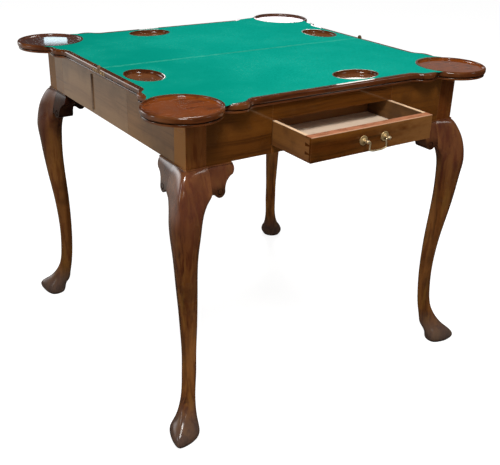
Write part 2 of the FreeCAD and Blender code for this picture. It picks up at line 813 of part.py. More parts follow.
def make_barrel_hinge():
    """The hinge between the right panels: the leaf of each panel, and the pin with its head."""
    low, lower, upper, high = barrel_levels()
    half_gap = panel_end_gap / 2
    axis = (mid_pin_x, mid_pin_y)
    bore = rod(barrel_pin_radius + pin_gap, (*axis, low - cut_overrun), (*axis, high + cut_overrun))
    whole = block((inner_x + barrel_leaf_thickness, mid_pin_y - half_gap - barrel_leaf_thickness, low),
                  (frieze_x, mid_pin_y - half_gap, high))
    ends = rod(barrel_radius, (*axis, low), (*axis, lower - slide_gap))
    ends = ends.fuse(rod(barrel_radius, (*axis, upper + slide_gap), (*axis, high)))
    middle = rod(barrel_radius, (*axis, lower), (*axis, upper))
    clear_middle = rod(barrel_radius + slide_gap, (*axis, lower - slide_gap), (*axis, upper + slide_gap))
    clear_ends = [rod(barrel_radius + slide_gap, (*axis, low - slide_gap), (*axis, lower)),
                  rod(barrel_radius + slide_gap, (*axis, upper), (*axis, high + slide_gap))]
    front = whole.fuse(ends).cut([bore, clear_middle])
    mirror_plane = Vector(0, mid_pin_y, 0)
    rear = whole.mirror(mirror_plane, Vector(0, 1, 0)).cut(clear_ends).fuse(middle).cut(bore)
    pin = rod(barrel_pin_radius, (*axis, low), (*axis, high))
    head = rod(pin_head_radius, (*axis, low - pin_head_height), (*axis, low))
    return front, rear, pin.fuse(head).removeSplitter()


def make_back_stub():
    """The short side rail of the back frame, on the right."""
    rail = block((inner_x, rear_joint_y + panel_end_gap / 2, leg_height), (frieze_x, post_inner_y, panel_top))
    return rail.cut([to_rear(recess) for recess in frame_hinge_recess()])


def make_cross_rail():
    """The tie across the front frame behind the drawer, low enough for the lock slide to pass."""
    start = -cross_rail_start - cross_rail_thickness
    return block((-inner_x, start, leg_height + cross_rail_lap), (inner_x, -cross_rail_start, bearer_top))


def make_runner():
    """The runner under the drawer's right side, with its guide beside the drawer."""
    inside = opening_x - runner_width
    outside = opening_x + runner_guide_width
    base = opening_bottom - runner_height
    front = -front_inner_y
    points = [
        Vector(inside, front, base),
        Vector(outside, front, base),
        Vector(outside, front, opening_bottom + runner_guide_height),
        Vector(opening_x, front, opening_bottom + runner_guide_height),
        Vector(opening_x, front, opening_bottom),
        Vector(inside, front, opening_bottom),
    ]
    length = front_inner_y - cross_rail_start - cross_rail_thickness
    return prism(points, Vector(0, length, 0))


def make_bearer():
    """The ledge on the right side rail that carries the edge of the lock slide."""
    return block((inner_x - bearer_width, -post_inner_y, bearer_top - bearer_height),
                 (inner_x, -cross_rail_start - cross_rail_thickness, bearer_top))


def corner_block(x, y, x_sign, y_sign, top):
    """A three-cornered glue block that stands in an inner corner."""
    low = leg_height + block_margin
    points = [Vector(x, y, low), Vector(x + x_sign * block_size, y, low),
              Vector(x, y + y_sign * block_size, low)]
    return prism(points, Vector(0, 0, top - low))


def make_front_blocks():
    """The glue blocks behind the front rails, beside the posts."""
    height = bearer_top - bearer_height - slide_gap
    beside_rail = corner_block(post_inner_x, -front_inner_y, -1, 1, height)
    beside_side = corner_block(inner_x, -post_inner_y, -1, 1, height)
    return pair_x(beside_rail) + pair_x(beside_side)


def make_back_blocks():
    """The glue blocks inside the back frame, between the posts and the back rail."""
    return pair_x(corner_block(post_inner_x, frieze_y - rail_thickness, -1, -1, slide_bottom))


# Lock slide


def make_lock_slide():
    """The lock slide, pushed in, and the turned pull on its back edge."""
    half = inner_x - slide_side_gap
    front = -post_inner_y + slide_front_gap
    board = block((-half, front, slide_bottom), (half, front + slide_length, slide_top))
    edge = front + slide_length
    middle_z = (slide_bottom + slide_top) / 2
    knob_start = edge + slide_pull_neck_length
    neck = rod(slide_pull_neck, (0, edge, middle_z), (0, knob_start, middle_z))
    knob = rod(slide_pull_radius, (0, knob_start, middle_z), (0, knob_start + slide_pull_length, middle_z))
    knob = knob.makeFillet(slide_pull_round, [e for e in knob.Edges if len(e.Vertexes) == 1])
    pull = neck.fuse(knob)
    return board, pull


# Drawer


def drawer_box():
    """The outer limits of the pulled-out drawer as its low and high corners."""
    half = opening_x - drawer_side_gap
    closed_back = -cross_rail_start - cross_rail_thickness - drawer_back_gap
    low = Vector(-half, drawer_front_y, opening_bottom + slide_gap)
    high = Vector(half, closed_back - drawer_pull_out, opening_top - drawer_head_gap)
    return low, high


def tail_prisms(x, width, y, reach, bottom, top):
    """The dovetails of a drawer side, spread over its height and widening away from the side."""
    pitch = (top - bottom) / tail_count
    tails = []
    for i in range(tail_count):
        middle = bottom + pitch * i + pitch / 2
        narrow = pitch * tail_width_share
        wide = narrow + tail_splay
        points = [
            Vector(x, y, middle - narrow),
            Vector(x, y, middle + narrow),
            Vector(x, y + reach, middle + wide),
            Vector(x, y + reach, middle - wide),
        ]
        tails.append(prism(points, Vector(width, 0, 0)))
    return tails


def make_drawer():
    """The five pieces of the drawer, joined by lapped dovetails in front and through ones behind."""
    low, high = drawer_box()
    front_in = low.y + drawer_front_thickness
    back_in = high.y - drawer_back_thickness
    floor_low = low.z + drawer_bottom_rise
    floor_high = floor_low + drawer_bottom_thickness
    side = block((low.x, front_in, low.z), (low.x + drawer_side_thickness, back_in, high.z))
    front_tails = tail_prisms(low.x, drawer_side_thickness, front_in, -tail_length, low.z, high.z)
    back_tails = tail_prisms(low.x, drawer_side_thickness, back_in, drawer_back_thickness,
                             floor_high, high.z)
    side = side.fuse(front_tails + back_tails).removeSplitter()
    groove_x = low.x + drawer_side_thickness - drawer_groove_depth
    floor = block((groove_x, front_in - drawer_groove_depth, floor_low),
                  (-groove_x, high.y, floor_high))
    left = side.cut(floor)
    right = across_x(left)
    front = block((low.x, low.y, low.z), (-low.x, front_in, high.z))
    front = front.cut(front_tails + [across_x(tail) for tail in front_tails] + [floor])
    back = block((low.x, back_in, floor_high), (-low.x, high.y, high.z - drawer_back_drop))
    back = back.cut(back_tails + [across_x(tail) for tail in back_tails])
    floor = floor.cut([left, right, front])
    return front, left, right, back, floor


def handle_place():
    """The point on the drawer front where the right-hand post of the handle stands."""
    low, high = drawer_box()
    return Vector(handle_span / 2, low.y, (low.z + high.z) / 2)


def make_rose():
    """A round rose with a raised boss, on the right, pierced for its post."""
    place = handle_place()
    forward = Vector(0, -1, 0)
    plate = Part.makeCylinder(rose_radius, rose_thickness, place, forward)
    front = place + forward * rose_thickness
    rim = [edge for edge in plate.Edges if edge.BoundBox.YMax < front.y + match_tolerance]
    plate = plate.makeChamfer(rose_edge, rim)
    boss = Part.makeCone(rose_boss_radius, rose_boss_top, rose_boss_height, front, forward)
    hole = rod(handle_post_radius, place - forward * cut_overrun, place + forward * handle_post_reach)
    return plate.fuse(boss).cut(hole).removeSplitter()


def make_post():
    """A handle post through the drawer front, with a pierced ball in front for the bail."""
    place = handle_place()
    tail = place + Vector(0, drawer_front_thickness + handle_nut_thickness, 0)
    centre = place - Vector(0, handle_post_reach, 0)
    shank = rod(handle_post_radius, tail, centre)
    ball = Part.makeSphere(handle_eye_radius, centre)
    side = Vector(handle_eye_side, 0, 0)
    reach = Vector(0, handle_eye_radius, handle_eye_radius)
    ball = ball.common(block(centre - side - reach, centre + side + reach))
    along = Vector(handle_eye_radius + cut_overrun, 0, 0)
    bore = rod(bail_radius + bail_gap, centre - along, centre + along)
    return shank.fuse(ball).cut(bore)


def make_nut():
    """The round nut on the tail of a post, inside the drawer."""
    place = handle_place()
    y = place.y + drawer_front_thickness
    nut = rod(handle_nut_radius, (place.x, y, place.z), (place.x, y + handle_nut_thickness, place.z))
    hole = rod(handle_post_radius, (place.x, y, place.z), (place.x, y + handle_nut_thickness, place.z))
    return nut.cut(hole)


def make_bail():
    """The bail, hung between the posts. Its two ends turn outwards through their balls."""
    pivot = handle_place() - Vector(0, handle_post_reach, 0)
    arm_x = pivot.x - bail_inset
    low_x = arm_x + bail_flare
    low = pivot.z - bail_drop
    right = [
        Vector(pivot.x + bail_pin_end, pivot.y, pivot.z),
        Vector(arm_x, pivot.y, pivot.z),
        Vector(low_x, pivot.y, low),
        Vector(low_x - bail_corner, pivot.y, low - bail_corner / 2),
        Vector(low_x / 2, pivot.y, low - bail_sag),
    ]
    left = [Vector(-point.x, point.y, point.z) for point in reversed(right)]
    return round_bar(right + left, bail_radius, bail_bend)


def round_bar(points, radius, longest_bend):
    """A round bar along straight runs joined by tangent arcs at the points between them."""
    edges = []
    here = points[0]
    for i in range(1, len(points) - 1):
        run_in = points[i] - points[i - 1]
        run_out = points[i + 1] - points[i]
        bend = min(run_in.Length * bail_bend_share, run_out.Length * bail_bend_share, longest_bend)
        run_in.normalize()
        run_out.normalize()
        start = points[i] - run_in * bend
        end = points[i] + run_out * bend
        edges.append(Part.makeLine(here, start))
        edges.append(tangent_arc(start, run_in, end))
        here = end
    edges.append(Part.makeLine(here, points[-1]))
    path = Part.Wire(edges)
    along = points[1] - points[0]
    section = Part.Wire([Part.makeCircle(radius, points[0], along)])
    return path.makePipeShell([section], True, True)


def build():
    """Makes and saves every piece."""
    cloth = make_baize()
    leaf = make_leaf(cloth)
    screw_places = [screw_spread * share for share in screw_spread_shares]
    screws = [top_screw(x) for x in screw_places]
    turned_leaf = leaf.copy()
    turned_leaf.rotate(ORIGIN, UP, 180)
    turned_cloth = cloth.copy()
    turned_cloth.rotate(ORIGIN, UP, 180)
    save("front_leaf", leaf.cut(screws))
    save("front_leaf_baize", cloth)
    save("fly_leaf", turned_leaf)
    save("fly_leaf_baize", turned_cloth)
    save("top_screws", screws)

    front_plate, fly_plate, card_pin = make_card_hinges()
    save("card_hinge_front_plates", pair_x(front_plate))
    save("card_hinge_fly_plates", pair_x(fly_plate))
    save("card_hinge_pins", pair_x(card_pin))

    leg = make_leg()
    bracket = make_bracket(leg)
    brackets = [bracket, across_diagonal(bracket).cut(leg)]
    corners = [("back_right", lambda s: s), ("back_left", across_x), ("front_right", across_y),
               ("front_left", lambda s: across_x(across_y(s)))]
    for name, carry in corners:
        save(name + "_leg", carry(leg))
        save(name + "_knee_brackets", [carry(piece) for piece in brackets])

    front_rail = make_front_rail()
    save("front_rail_right", front_rail)
    save("front_rail_left", across_x(front_rail))
    rail_y = (-frieze_y, -front_inner_y)
    upper = block((-opening_x, rail_y[0], opening_top), (opening_x, rail_y[1], panel_top))
    holes = [top_screw_hole(x) for x in screw_places]
    save("drawer_rail_top", upper.cut(screws + holes))
    save("drawer_rail_bottom", block((-opening_x, rail_y[0], leg_height), (opening_x, rail_y[1],
                                                                           opening_bottom)))

    side_rail = make_side_rail()
    save("side_rail_right", side_rail)
    save("side_rail_left", across_x(side_rail))
    save("inner_cross_rail", make_cross_rail())
    save("drawer_runners", pair_x(make_runner()))
    save("lock_slide_bearers", pair_x(make_bearer()))
    save("front_corner_blocks", make_front_blocks())
    save("back_corner_blocks", make_back_blocks())

    plate, strap, pin = frame_hinge()
    panel_front, panel_rear = make_panels(strap)
    barrel_front, barrel_rear, barrel_pin = make_barrel_hinge()
    save("front_hinge_plates", pair_x(plate))
    save("front_hinge_pins", pair_x(pin))
    save("back_hinge_plates", pair_x(to_rear(plate)))
    save("back_hinge_pins", pair_x(to_rear(pin)))
    for side, carry in (("right", lambda s: s), ("left", across_x)):
        save(side + "_front_panel", carry(panel_front))
        save(side + "_rear_panel", carry(panel_rear))
        save(side + "_front_panel_strap", carry(strap))
        save(side + "_rear_panel_strap", carry(to_rear(strap)))
        save(side + "_mid_hinge_front_leaf", carry(barrel_front))
        save(side + "_mid_hinge_rear_leaf", carry(barrel_rear))
        save(side + "_mid_hinge_pin", carry(barrel_pin))
    stub = make_back_stub()
    save("back_side_rails", pair_x(stub))
    save("back_rail", block((-post_inner_x, frieze_y - rail_thickness, leg_height),
                            (post_inner_x, frieze_y, panel_top)))

    board, pull = make_lock_slide()
    save("lock_slide", board)
    save("lock_slide_pull", pull)

    front, left, right, back, floor = make_drawer()
    posts = pair_x(make_post())
    save("drawer_front", front.cut(posts))
    save("drawer_side_left", left)
    save("drawer_side_right", right)
    save("drawer_back", back)
    save("drawer_bottom", floor)
    save("handle_roses", pair_x(make_rose()))
    save("handle_posts", posts)
    save("handle_nuts", pair_x(make_nut()))
    save("handle_bail", make_bail())


build()
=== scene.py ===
"""Looks of an open card table with its drawer pulled out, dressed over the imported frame."""
import logging
import math
from dataclasses import dataclass, field, replace
from enum import Enum
from typing import NamedTuple, Union

import bmesh
import bpy
from mathutils import Matrix, Vector, noise


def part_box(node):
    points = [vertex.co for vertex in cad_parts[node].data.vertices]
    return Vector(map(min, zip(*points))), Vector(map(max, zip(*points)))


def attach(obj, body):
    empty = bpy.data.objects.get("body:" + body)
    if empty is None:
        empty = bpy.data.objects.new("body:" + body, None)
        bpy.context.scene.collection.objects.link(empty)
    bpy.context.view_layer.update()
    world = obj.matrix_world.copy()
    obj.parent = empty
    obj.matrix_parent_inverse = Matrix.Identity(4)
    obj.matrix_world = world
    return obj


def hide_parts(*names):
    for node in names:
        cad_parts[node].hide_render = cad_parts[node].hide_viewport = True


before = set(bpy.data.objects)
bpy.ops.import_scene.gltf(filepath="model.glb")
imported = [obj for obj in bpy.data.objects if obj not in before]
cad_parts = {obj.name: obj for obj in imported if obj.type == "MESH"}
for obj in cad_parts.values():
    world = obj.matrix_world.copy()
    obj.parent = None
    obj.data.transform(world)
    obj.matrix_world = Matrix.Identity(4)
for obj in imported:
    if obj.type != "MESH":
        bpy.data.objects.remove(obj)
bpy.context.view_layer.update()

log = logging.getLogger("card_table")

Triple = tuple[float, float, float]
Colour = Triple
Span = tuple[float, float]
Tones = tuple[Colour, Colour, Colour]
Feed = Union["Reading", float, int, tuple]

BLACK: Colour = (0.0, 0.0, 0.0)
WHITE: Colour = (1.0, 1.0, 1.0)
SMOOTH_BELOW = math.radians(30)


def from_screen(red: int, green: int, blue: int) -> Colour:
    """Turns a colour as a screen shows it into the light that it stands for, by the sRGB curve.

    Args:
        red: Red, 0 to 255.
        green: Green, 0 to 255.
        blue: Blue, 0 to 255.

    Returns:
        The same colour in linear light.
    """
    parts = [channel / 255 for channel in (red, green, blue)]
    return tuple(p / 12.92 if p <= 0.04045 else ((p + 0.055) / 1.055) ** 2.4 for p in parts)


def tones(*screen: tuple[int, int, int]) -> Tones:
    """The three colours of a wood or metal, given as a screen shows them."""
    return tuple(from_screen(*colour) for colour in screen)


def in_light(colour: Colour, light: float) -> Colour:
    """The same colour, brighter or darker."""
    return tuple(light * channel for channel in colour)


class Stain(NamedTuple):
    """A colour that lies over another, and how much of it shows at the most."""

    colour: Colour
    share: float

    def in_light(self, light: float) -> "Stain":
        """The same stain, brighter or darker."""
        return Stain(in_light(self.colour, light), self.share)


class Grain(Enum):
    """The way a board's fibres run."""

    ACROSS = (1.0, 0.0, 0.0)
    DEEP = (0.0, 1.0, 0.0)
    UPRIGHT = (0.0, 0.0, 1.0)


class Ray(Enum):
    """The kind of light path that meets a surface, by its socket on the Light Path node."""

    SEEN = "Is Camera Ray"
    MIRRORED = "Is Glossy Ray"
    THROUGH = "Is Transmission Ray"


class Cloud(NamedTuple):
    """A soft noise: its lumps to the metre, in all or by axis, and how fine and rough it is."""

    scale: float | Triple
    detail: float = 3.0
    roughness: float = 0.6


class Streaks(NamedTuple):
    """A noise drawn out along the grain: its lumps to the metre along it and across it."""

    along: float
    across: float
    detail: float
    roughness: float

    def run(self, grain: Grain) -> Cloud:
        """Turns the streaks the way that a board's grain runs."""
        scale = tuple(self.across + (self.along - self.across) * part for part in grain.value)
        return Cloud(scale, self.detail, self.roughness)


class Reading:
    """A number, colour or vector that varies over a surface, held in one output socket."""

    def __init__(self, nodes: "Nodes", socket: bpy.types.NodeSocket) -> None:
        """Keeps the nodes that the socket belongs to, and the socket."""
        self.nodes = nodes
        self.socket = socket

    def __add__(self, other: Feed) -> "Reading":
        """Adds a number or another reading."""
        return self.nodes.maths("ADD", self, other)

    __radd__ = __add__

    def __sub__(self, other: Feed) -> "Reading":
        """Takes a number or another reading away."""
        return self.nodes.maths("SUBTRACT", self, other)

    def __rsub__(self, other: Feed) -> "Reading":
        """Is taken away from a number."""
        return self.nodes.maths("SUBTRACT", other, self)

    def __mul__(self, other: Feed) -> "Reading":
        """Multiplies by a number or another reading."""
        return self.nodes.maths("MULTIPLY", self, other)

    __rmul__ = __mul__

    def __pow__(self, other: Feed) -> "Reading":
        """Raises to a power."""
        return self.nodes.maths("POWER", self, other)

    def size(self) -> "Reading":
        """The number without its sign."""
        return self.nodes.maths("ABSOLUTE", self)

    def larger(self, other: Feed) -> "Reading":
        """The larger of the two."""
        return self.nodes.maths("MAXIMUM", self, other)

    def rise(self, low: float, high: float) -> "Reading":
        """A soft step. With high below low it falls instead.

        Args:
            low: Where it is 0.
            high: Where it is 1.

        Returns:
            The reading of the step.
        """
        start, end = (low, high) if low < high else (high, low)
        first, last = (0.0, 1.0) if low < high else (1.0, 0.0)
        return self.nodes.node(
            "ShaderNodeMapRange",
            {"interpolation_type": "SMOOTHSTEP", "clamp": True},
            {"Value": self, "From Min": start, "From Max": end, "To Min": first, "To Max": last},
        )

    def near(self, level: float, offsets: Span) -> "Reading":
        """A soft step whose two ends are given from a level."""
        return self.rise(level + offsets[0], level + offsets[1])

    def band(self, low: float, high: float, soft: float) -> "Reading":
        """1 between two values, fading to 0 over a soft width inside each."""
        return self.rise(low, low + soft) * self.rise(high, high - soft)


class Nodes:
    """The nodes of one tree, built up by expressions."""

    def __init__(self, tree: bpy.types.NodeTree) -> None:
        """Takes a tree over and empties it."""
        self.tree = tree
        tree.nodes.clear()

    def feed(self, socket: bpy.types.NodeSocket, value: Feed) -> None:
        """Sets a socket to a constant, or links a reading to it.

        Args:
            socket: The input to feed.
            value: The constant or the reading.
        """
        if isinstance(value, Reading):
            self.tree.links.new(value.socket, socket)
        elif socket.type == "RGBA":
            socket.default_value = (*value, 1.0)
        else:
            socket.default_value = value

    def node(self, kind: str, settings: dict[str, object] | None = None,
             sockets: dict[str | int, Feed] | None = None, output: str | int = 0) -> Reading:
        """Adds one node.

        Args:
            kind: The node's type.
            settings: Its own settings, set before its sockets.
            sockets: Values or readings for its inputs, by name or number.
            output: The output that is wanted, by name or number.

        Returns:
            The reading of that output.
        """
        made = self.tree.nodes.new(kind)
        for key, value in (settings or {}).items():
            setattr(made, key, value)
        for key, value in (sockets or {}).items():
            self.feed(made.inputs[key], value)
        return Reading(self, made.outputs[output])

    def end(self, kind: str, surface: Reading) -> None:
        """Ends the tree in its output node."""
        self.feed(self.tree.nodes.new(kind).inputs["Surface"], surface)

    def maths(self, operation: str, first: Feed, second: Feed = 0.0) -> Reading:
        """Adds a Math node on two values."""
        return self.node("ShaderNodeMath", {"operation": operation}, {0: first, 1: second})

    def vectors(self, operation: str, first: Feed, second: Feed, output: str | int = 0) -> Reading:
        """Adds a Vector Math node on two vectors."""
        settings = {"operation": operation}
        return self.node("ShaderNodeVectorMath", settings, {0: first, 1: second}, output)

    def mix(self, first: Feed, second: Feed, share: Feed) -> Reading:
        """Mixes two colours.

        Args:
            first: The colour at a share of 0.
            second: The colour at a share of 1.
            share: The share of the second colour.

        Returns:
            The mixed colour.
        """
        return self.node("ShaderNodeMix", {"data_type": "RGBA", "clamp_factor": True},
                         {0: share, 6: first, 7: second}, 2)

    def stained(self, colour: Feed, stain: Stain, where: Reading) -> Reading:
        """Lays a stain over a colour, most where a mask is 1."""
        return self.mix(colour, stain.colour, where * stain.share)

    def ray(self, kind: Ray) -> Reading:
        """1 for one kind of light path and 0 for the others."""
        return self.node("ShaderNodeLightPath", output=kind.value)

    def axes(self, vector: Reading) -> tuple[Reading, Reading, Reading]:
        """The three parts of a vector."""
        first = self.node("ShaderNodeSeparateXYZ", None, {0: vector})
        return tuple(Reading(self, socket) for socket in first.socket.node.outputs)

    def cloud(self, place: Reading, pattern: Cloud, output: str = "Fac") -> Reading:
        """A noise from 0 to 1.

        Args:
            place: Where the noise is read.
            pattern: Its kind.
            output: Fac for a number, or Color for three numbers that differ.

        Returns:
            The reading of the noise.
        """
        scale = pattern.scale
        if isinstance(scale, tuple):
            place, scale = self.vectors("MULTIPLY", place, scale), 1.0
        return self.node("ShaderNodeTexNoise", {"noise_dimensions": "3D"},
                         {"Vector": place, "Scale": scale, "Detail": pattern.detail,
                          "Roughness": pattern.roughness}, output)


class Recipe(Nodes):
    """The nodes of one material."""

    hollow_samples = 6
    bevel_samples = 4
    edge_turn: Span = (0.995, 0.82)

    def __init__(self, name: str) -> None:
        """Starts a material with a lone Principled shader.

        Args:
            name: The material's name.
        """
        self.material = bpy.data.materials.new(name)
        self.material.use_nodes = True
        super().__init__(self.material.node_tree)
        surface = self.node("ShaderNodeBsdfPrincipled")
        self.shader = surface.socket.node
        self.end("ShaderNodeOutputMaterial", surface)

    def place(self) -> Reading:
        """Where a point is on the piece, in metres."""
        return self.node("ShaderNodeTexCoord", output="Object")

    def normal(self) -> Reading:
        """The way that the surface faces."""
        return self.node("ShaderNodeNewGeometry", output="Normal")

    def hollows(self, reach: float) -> Reading:
        """How open a point is, from 0 deep in a corner to 1 in the open."""
        settings = {"samples": self.hollow_samples}
        return self.node("ShaderNodeAmbientOcclusion", settings, {"Distance": reach}, "AO")

    def rounded(self, radius: float) -> Reading:
        """The surface's normal as if every edge were rounded."""
        return self.node("ShaderNodeBevel", {"samples": self.bevel_samples}, {"Radius": radius})

    def edges(self, radius: float) -> Reading:
        """A mask of the piece's edges, 1 on an edge."""
        lined_up = self.vectors("DOT_PRODUCT", self.rounded(radius), self.normal(), "Value")
        return lined_up.rise(*self.edge_turn)

    def bump(self, height: Reading, depth: float, normal: Reading | None = None) -> Reading:
        """Turns a height from 0 to 1 into a bent normal.

        Args:
            height: The height pattern.
            depth: The height in metres that 1 stands for.
            normal: A normal to bend, if it isn't the surface's own.

        Returns:
            The bent normal.
        """
        sockets: dict[str | int, Feed] = {"Height": height, "Distance": depth, "Strength": 1.0}
        if normal is not None:
            sockets["Normal"] = normal
        return self.node("ShaderNodeBump", None, sockets)

    def finish(self, sockets: dict[str, Feed]) -> bpy.types.Material:
        """Feeds the shader and hands over the material.

        Args:
            sockets: Constants or readings for the shader's sockets, by name.

        Returns:
            The finished material.
        """
        for key, value in sockets.items():
            self.feed(self.shader.inputs[key], value)
        return self.material


NOISE_MIDDLE: Triple = (0.5, 0.5, 0.5)
DRIFT = Cloud(3.5, 1.0, 0.5)
MOTTLE = Cloud(16.0, 3.0, 0.55)
FIBRE = Streaks(5.0, 150.0, 5.0, 0.62)
RIBBON = Streaks(1.6, 24.0, 2.0, 0.45)
PORES = Streaks(90.0, 1300.0, 1.0, 0.5)


class Figure(NamedTuple):
    """The patterns that make up the look of a board."""

    fibre: Reading
    ribbon: Reading
    pore: Reading
    mottle: Reading


@dataclass(frozen=True)
class Wood:
    """Wood with its grain. Its tones are the dark of its grain, its body and its sheen."""

    name: str
    grain: Grain
    seed: float
    tones: Tones
    seed_steps: Triple = (1.0, 0.7, -1.3)
    sway: float = 0.03
    fibre_rise: Span = (0.22, 0.58)
    ribbon_rise: Span = (0.38, 0.66)
    ribbon_share: float = 0.7
    mottle_rise: Span = (0.48, 0.72)
    mottle_share: float = 0.45
    pore_rise: Span = (0.60, 0.70)
    pore_share: float = 0.35
    pore_relief: float = 0.3
    relief: float = 0.00002
    soft_edge: float = 0.0009
    ior: float = 1.45

    def figure(self, recipe: Recipe) -> Figure:
        """Draws the grain.

        Args:
            recipe: The material's recipe.

        Returns:
            The patterns of the board.
        """
        apart = tuple(self.seed * step for step in self.seed_steps)
        place = recipe.vectors("ADD", recipe.place(), apart)
        drift = recipe.cloud(place, DRIFT, "Color")
        centred = recipe.vectors("SUBTRACT", drift, NOISE_MIDDLE)
        sway = recipe.vectors("MULTIPLY", centred, (self.sway, self.sway, self.sway))
        bent = recipe.vectors("ADD", place, sway)
        fibre, ribbon, pores = (recipe.cloud(bent, streaks.run(self.grain))
                                for streaks in (FIBRE, RIBBON, PORES))
        return Figure(fibre, ribbon, pores.rise(*self.pore_rise), recipe.cloud(bent, MOTTLE))

    def board(self, recipe: Recipe, figure: Figure) -> Reading:
        """Colours the grain, before polish, wear, and the painted shade and soiling of hollows.

        Args:
            recipe: The material's recipe.
            figure: The patterns of the board.

        Returns:
            The colour of the bare board.
        """
        deep, body, bright = self.tones
        base = recipe.mix(deep, body, figure.fibre.rise(*self.fibre_rise))
        sheen = figure.ribbon.rise(*self.ribbon_rise) * self.ribbon_share
        shade = figure.mottle.rise(*self.mottle_rise) * self.mottle_share
        shaded = recipe.mix(recipe.mix(base, bright, sheen), deep, shade)
        return recipe.mix(shaded, deep, figure.pore * self.pore_share)

    def feel(self, recipe: Recipe, figure: Figure) -> Reading:
        """The normal of the board, with its grain raised and its edges softened."""
        height = (1.0 - figure.pore) * self.pore_relief + figure.fibre * (1.0 - self.pore_relief)
        return recipe.bump(height, self.relief, recipe.rounded(self.soft_edge))


@dataclass(frozen=True)
class Mahogany(Wood):
    """Old polished mahogany: dark, glossy, worn on its edges, with painted shade and soiling in
    corners.
    """

    rub: Colour = from_screen(150, 92, 52)
    # The tone of painted shade: in hollows and corners with some soiling, in the quirk and on
    # bracket lobes.
    darkening_tone: Colour = from_screen(24, 13, 8)
    roughness: float = 0.18
    mottle_haze: float = 0.16
    hollow_darkening_haze: float = 0.35
    wear_haze: float = 0.1
    wear: float = 0.55
    worn_edge: float = 0.0022
    wear_patches: Span = (0.30, 0.62)
    wear_reach: Span = (0.55, 0.85)
    # How much hollows and corners are darkened, and within what reach: painted shade, with some
    # soiling.
    hollow_darkening: float = 0.8
    corner: float = 0.016
    hollow_darkening_reach: Span = (0.62, 0.18)
    coat: float = 0.8
    coat_roughness: float = 0.045
    bare_shine: float = 0.08

    def material(self) -> bpy.types.Material:
        """Makes the material of one board.

        Returns:
            The finished material.
        """
        recipe = Recipe(self.name)
        figure = self.figure(recipe)
        colour = self.tint(recipe, self.board(recipe, figure))
        # Painted shade: corners and hollows darken where less light reaches them, with some
        # soiling too.
        open_air = recipe.hollows(self.corner)
        rubbed = recipe.edges(self.worn_edge) * figure.mottle.rise(*self.wear_patches)
        worn = rubbed * open_air.rise(*self.wear_reach) * self.wear
        darkening = open_air.rise(*self.hollow_darkening_reach) * self.hollow_darkening
        colour = recipe.mix(colour, self.rub, worn)
        return recipe.finish({
            "Base Color": recipe.mix(colour, self.darkening_tone, darkening),
            "Roughness": (figure.mottle * self.mottle_haze + self.roughness
                          + darkening * self.hollow_darkening_haze + worn * self.wear_haze),
            "Coat Weight": (1.0 - darkening) * self.polish(recipe),
            "Normal": self.feel(recipe, figure),
            "Coat Roughness": self.coat_roughness,
            "IOR": self.ior,
            "Specular IOR Level": self.bare_shine,
        })

    def tint(self, recipe: Recipe, colour: Reading) -> Reading:
        """Leaves the board's colour as it is; finishes with local colour override this."""
        return colour

    def polish(self, recipe: Recipe) -> Feed:
        """The weight of the polish, the same all over unless a finish overrides this."""
        return self.coat


@dataclass(frozen=True, kw_only=True)
class LeafMahogany(Mahogany):
    """Leaf mahogany: figured dish floors, painted glints in the wells, painted shade in the quirk.
    """

    dish_x: float
    dish_y: float
    dish_radius: float
    quirk: float
    warm: Colour
    burnt: Colour
    dish_fade: Span = (0.002, -0.003)
    dish_streaks: Streaks = Streaks(12.0, 110.0, 4.0, 0.6)
    dish_clouds: Cloud = Cloud(45.0)
    streak_share: float = 0.6
    figure_rise: Span = (0.28, 0.58)
    figure_share: float = 0.85
    # The quirk's groove, painted dark as painted shade.
    quirk_half: float = 0.0016
    quirk_shade_share: float = 0.85
    # Pale tone on the floors of the wells: a painted glint of the polish.
    painted_well_glint: Stain = Stain(from_screen(164, 112, 76), 0.25)
    well_low: float = 0.0035
    well_high: float = 0.0065
    level: Span = (0.8, 0.95)
    soft: float = 0.001

    def tint(self, recipe: Recipe, colour: Reading) -> Reading:
        """Colours dish floors, lightens wells as painted glints and paints the quirk's shadow
        line.

        Args:
            recipe: The material's recipe.
            colour: The colour of the bare board.

        Returns:
            The colour with these on it.
        """
        place = recipe.place()
        x, y, z = recipe.axes(place)
        aside, along = x.size() - self.dish_x, y - self.dish_y
        away = (aside * aside + along * along) ** 0.5
        floor = away.near(self.dish_radius, self.dish_fade)
        streaks = recipe.cloud(place, self.dish_streaks.run(self.grain)) * self.streak_share
        clouds = recipe.cloud(place, self.dish_clouds) * (1.0 - self.streak_share)
        figured = recipe.mix(self.burnt, self.warm, (streaks + clouds).rise(*self.figure_rise))
        upward = recipe.axes(recipe.normal())[2].rise(*self.level)
        sunk = upward * z.band(self.quirk - self.well_low, self.quirk + self.well_high, self.soft)
        line = z.band(self.quirk - self.quirk_half, self.quirk + self.quirk_half, self.soft)
        # Painted highlight: the wells' floors are lightened as painted glints.
        colour = recipe.stained(colour, self.painted_well_glint, sunk)
        colour = recipe.mix(colour, figured, floor * self.figure_share)
        # Painted shade: a dark line along the quirk's groove.
        return recipe.mix(colour, self.darkening_tone, line * self.quirk_shade_share)


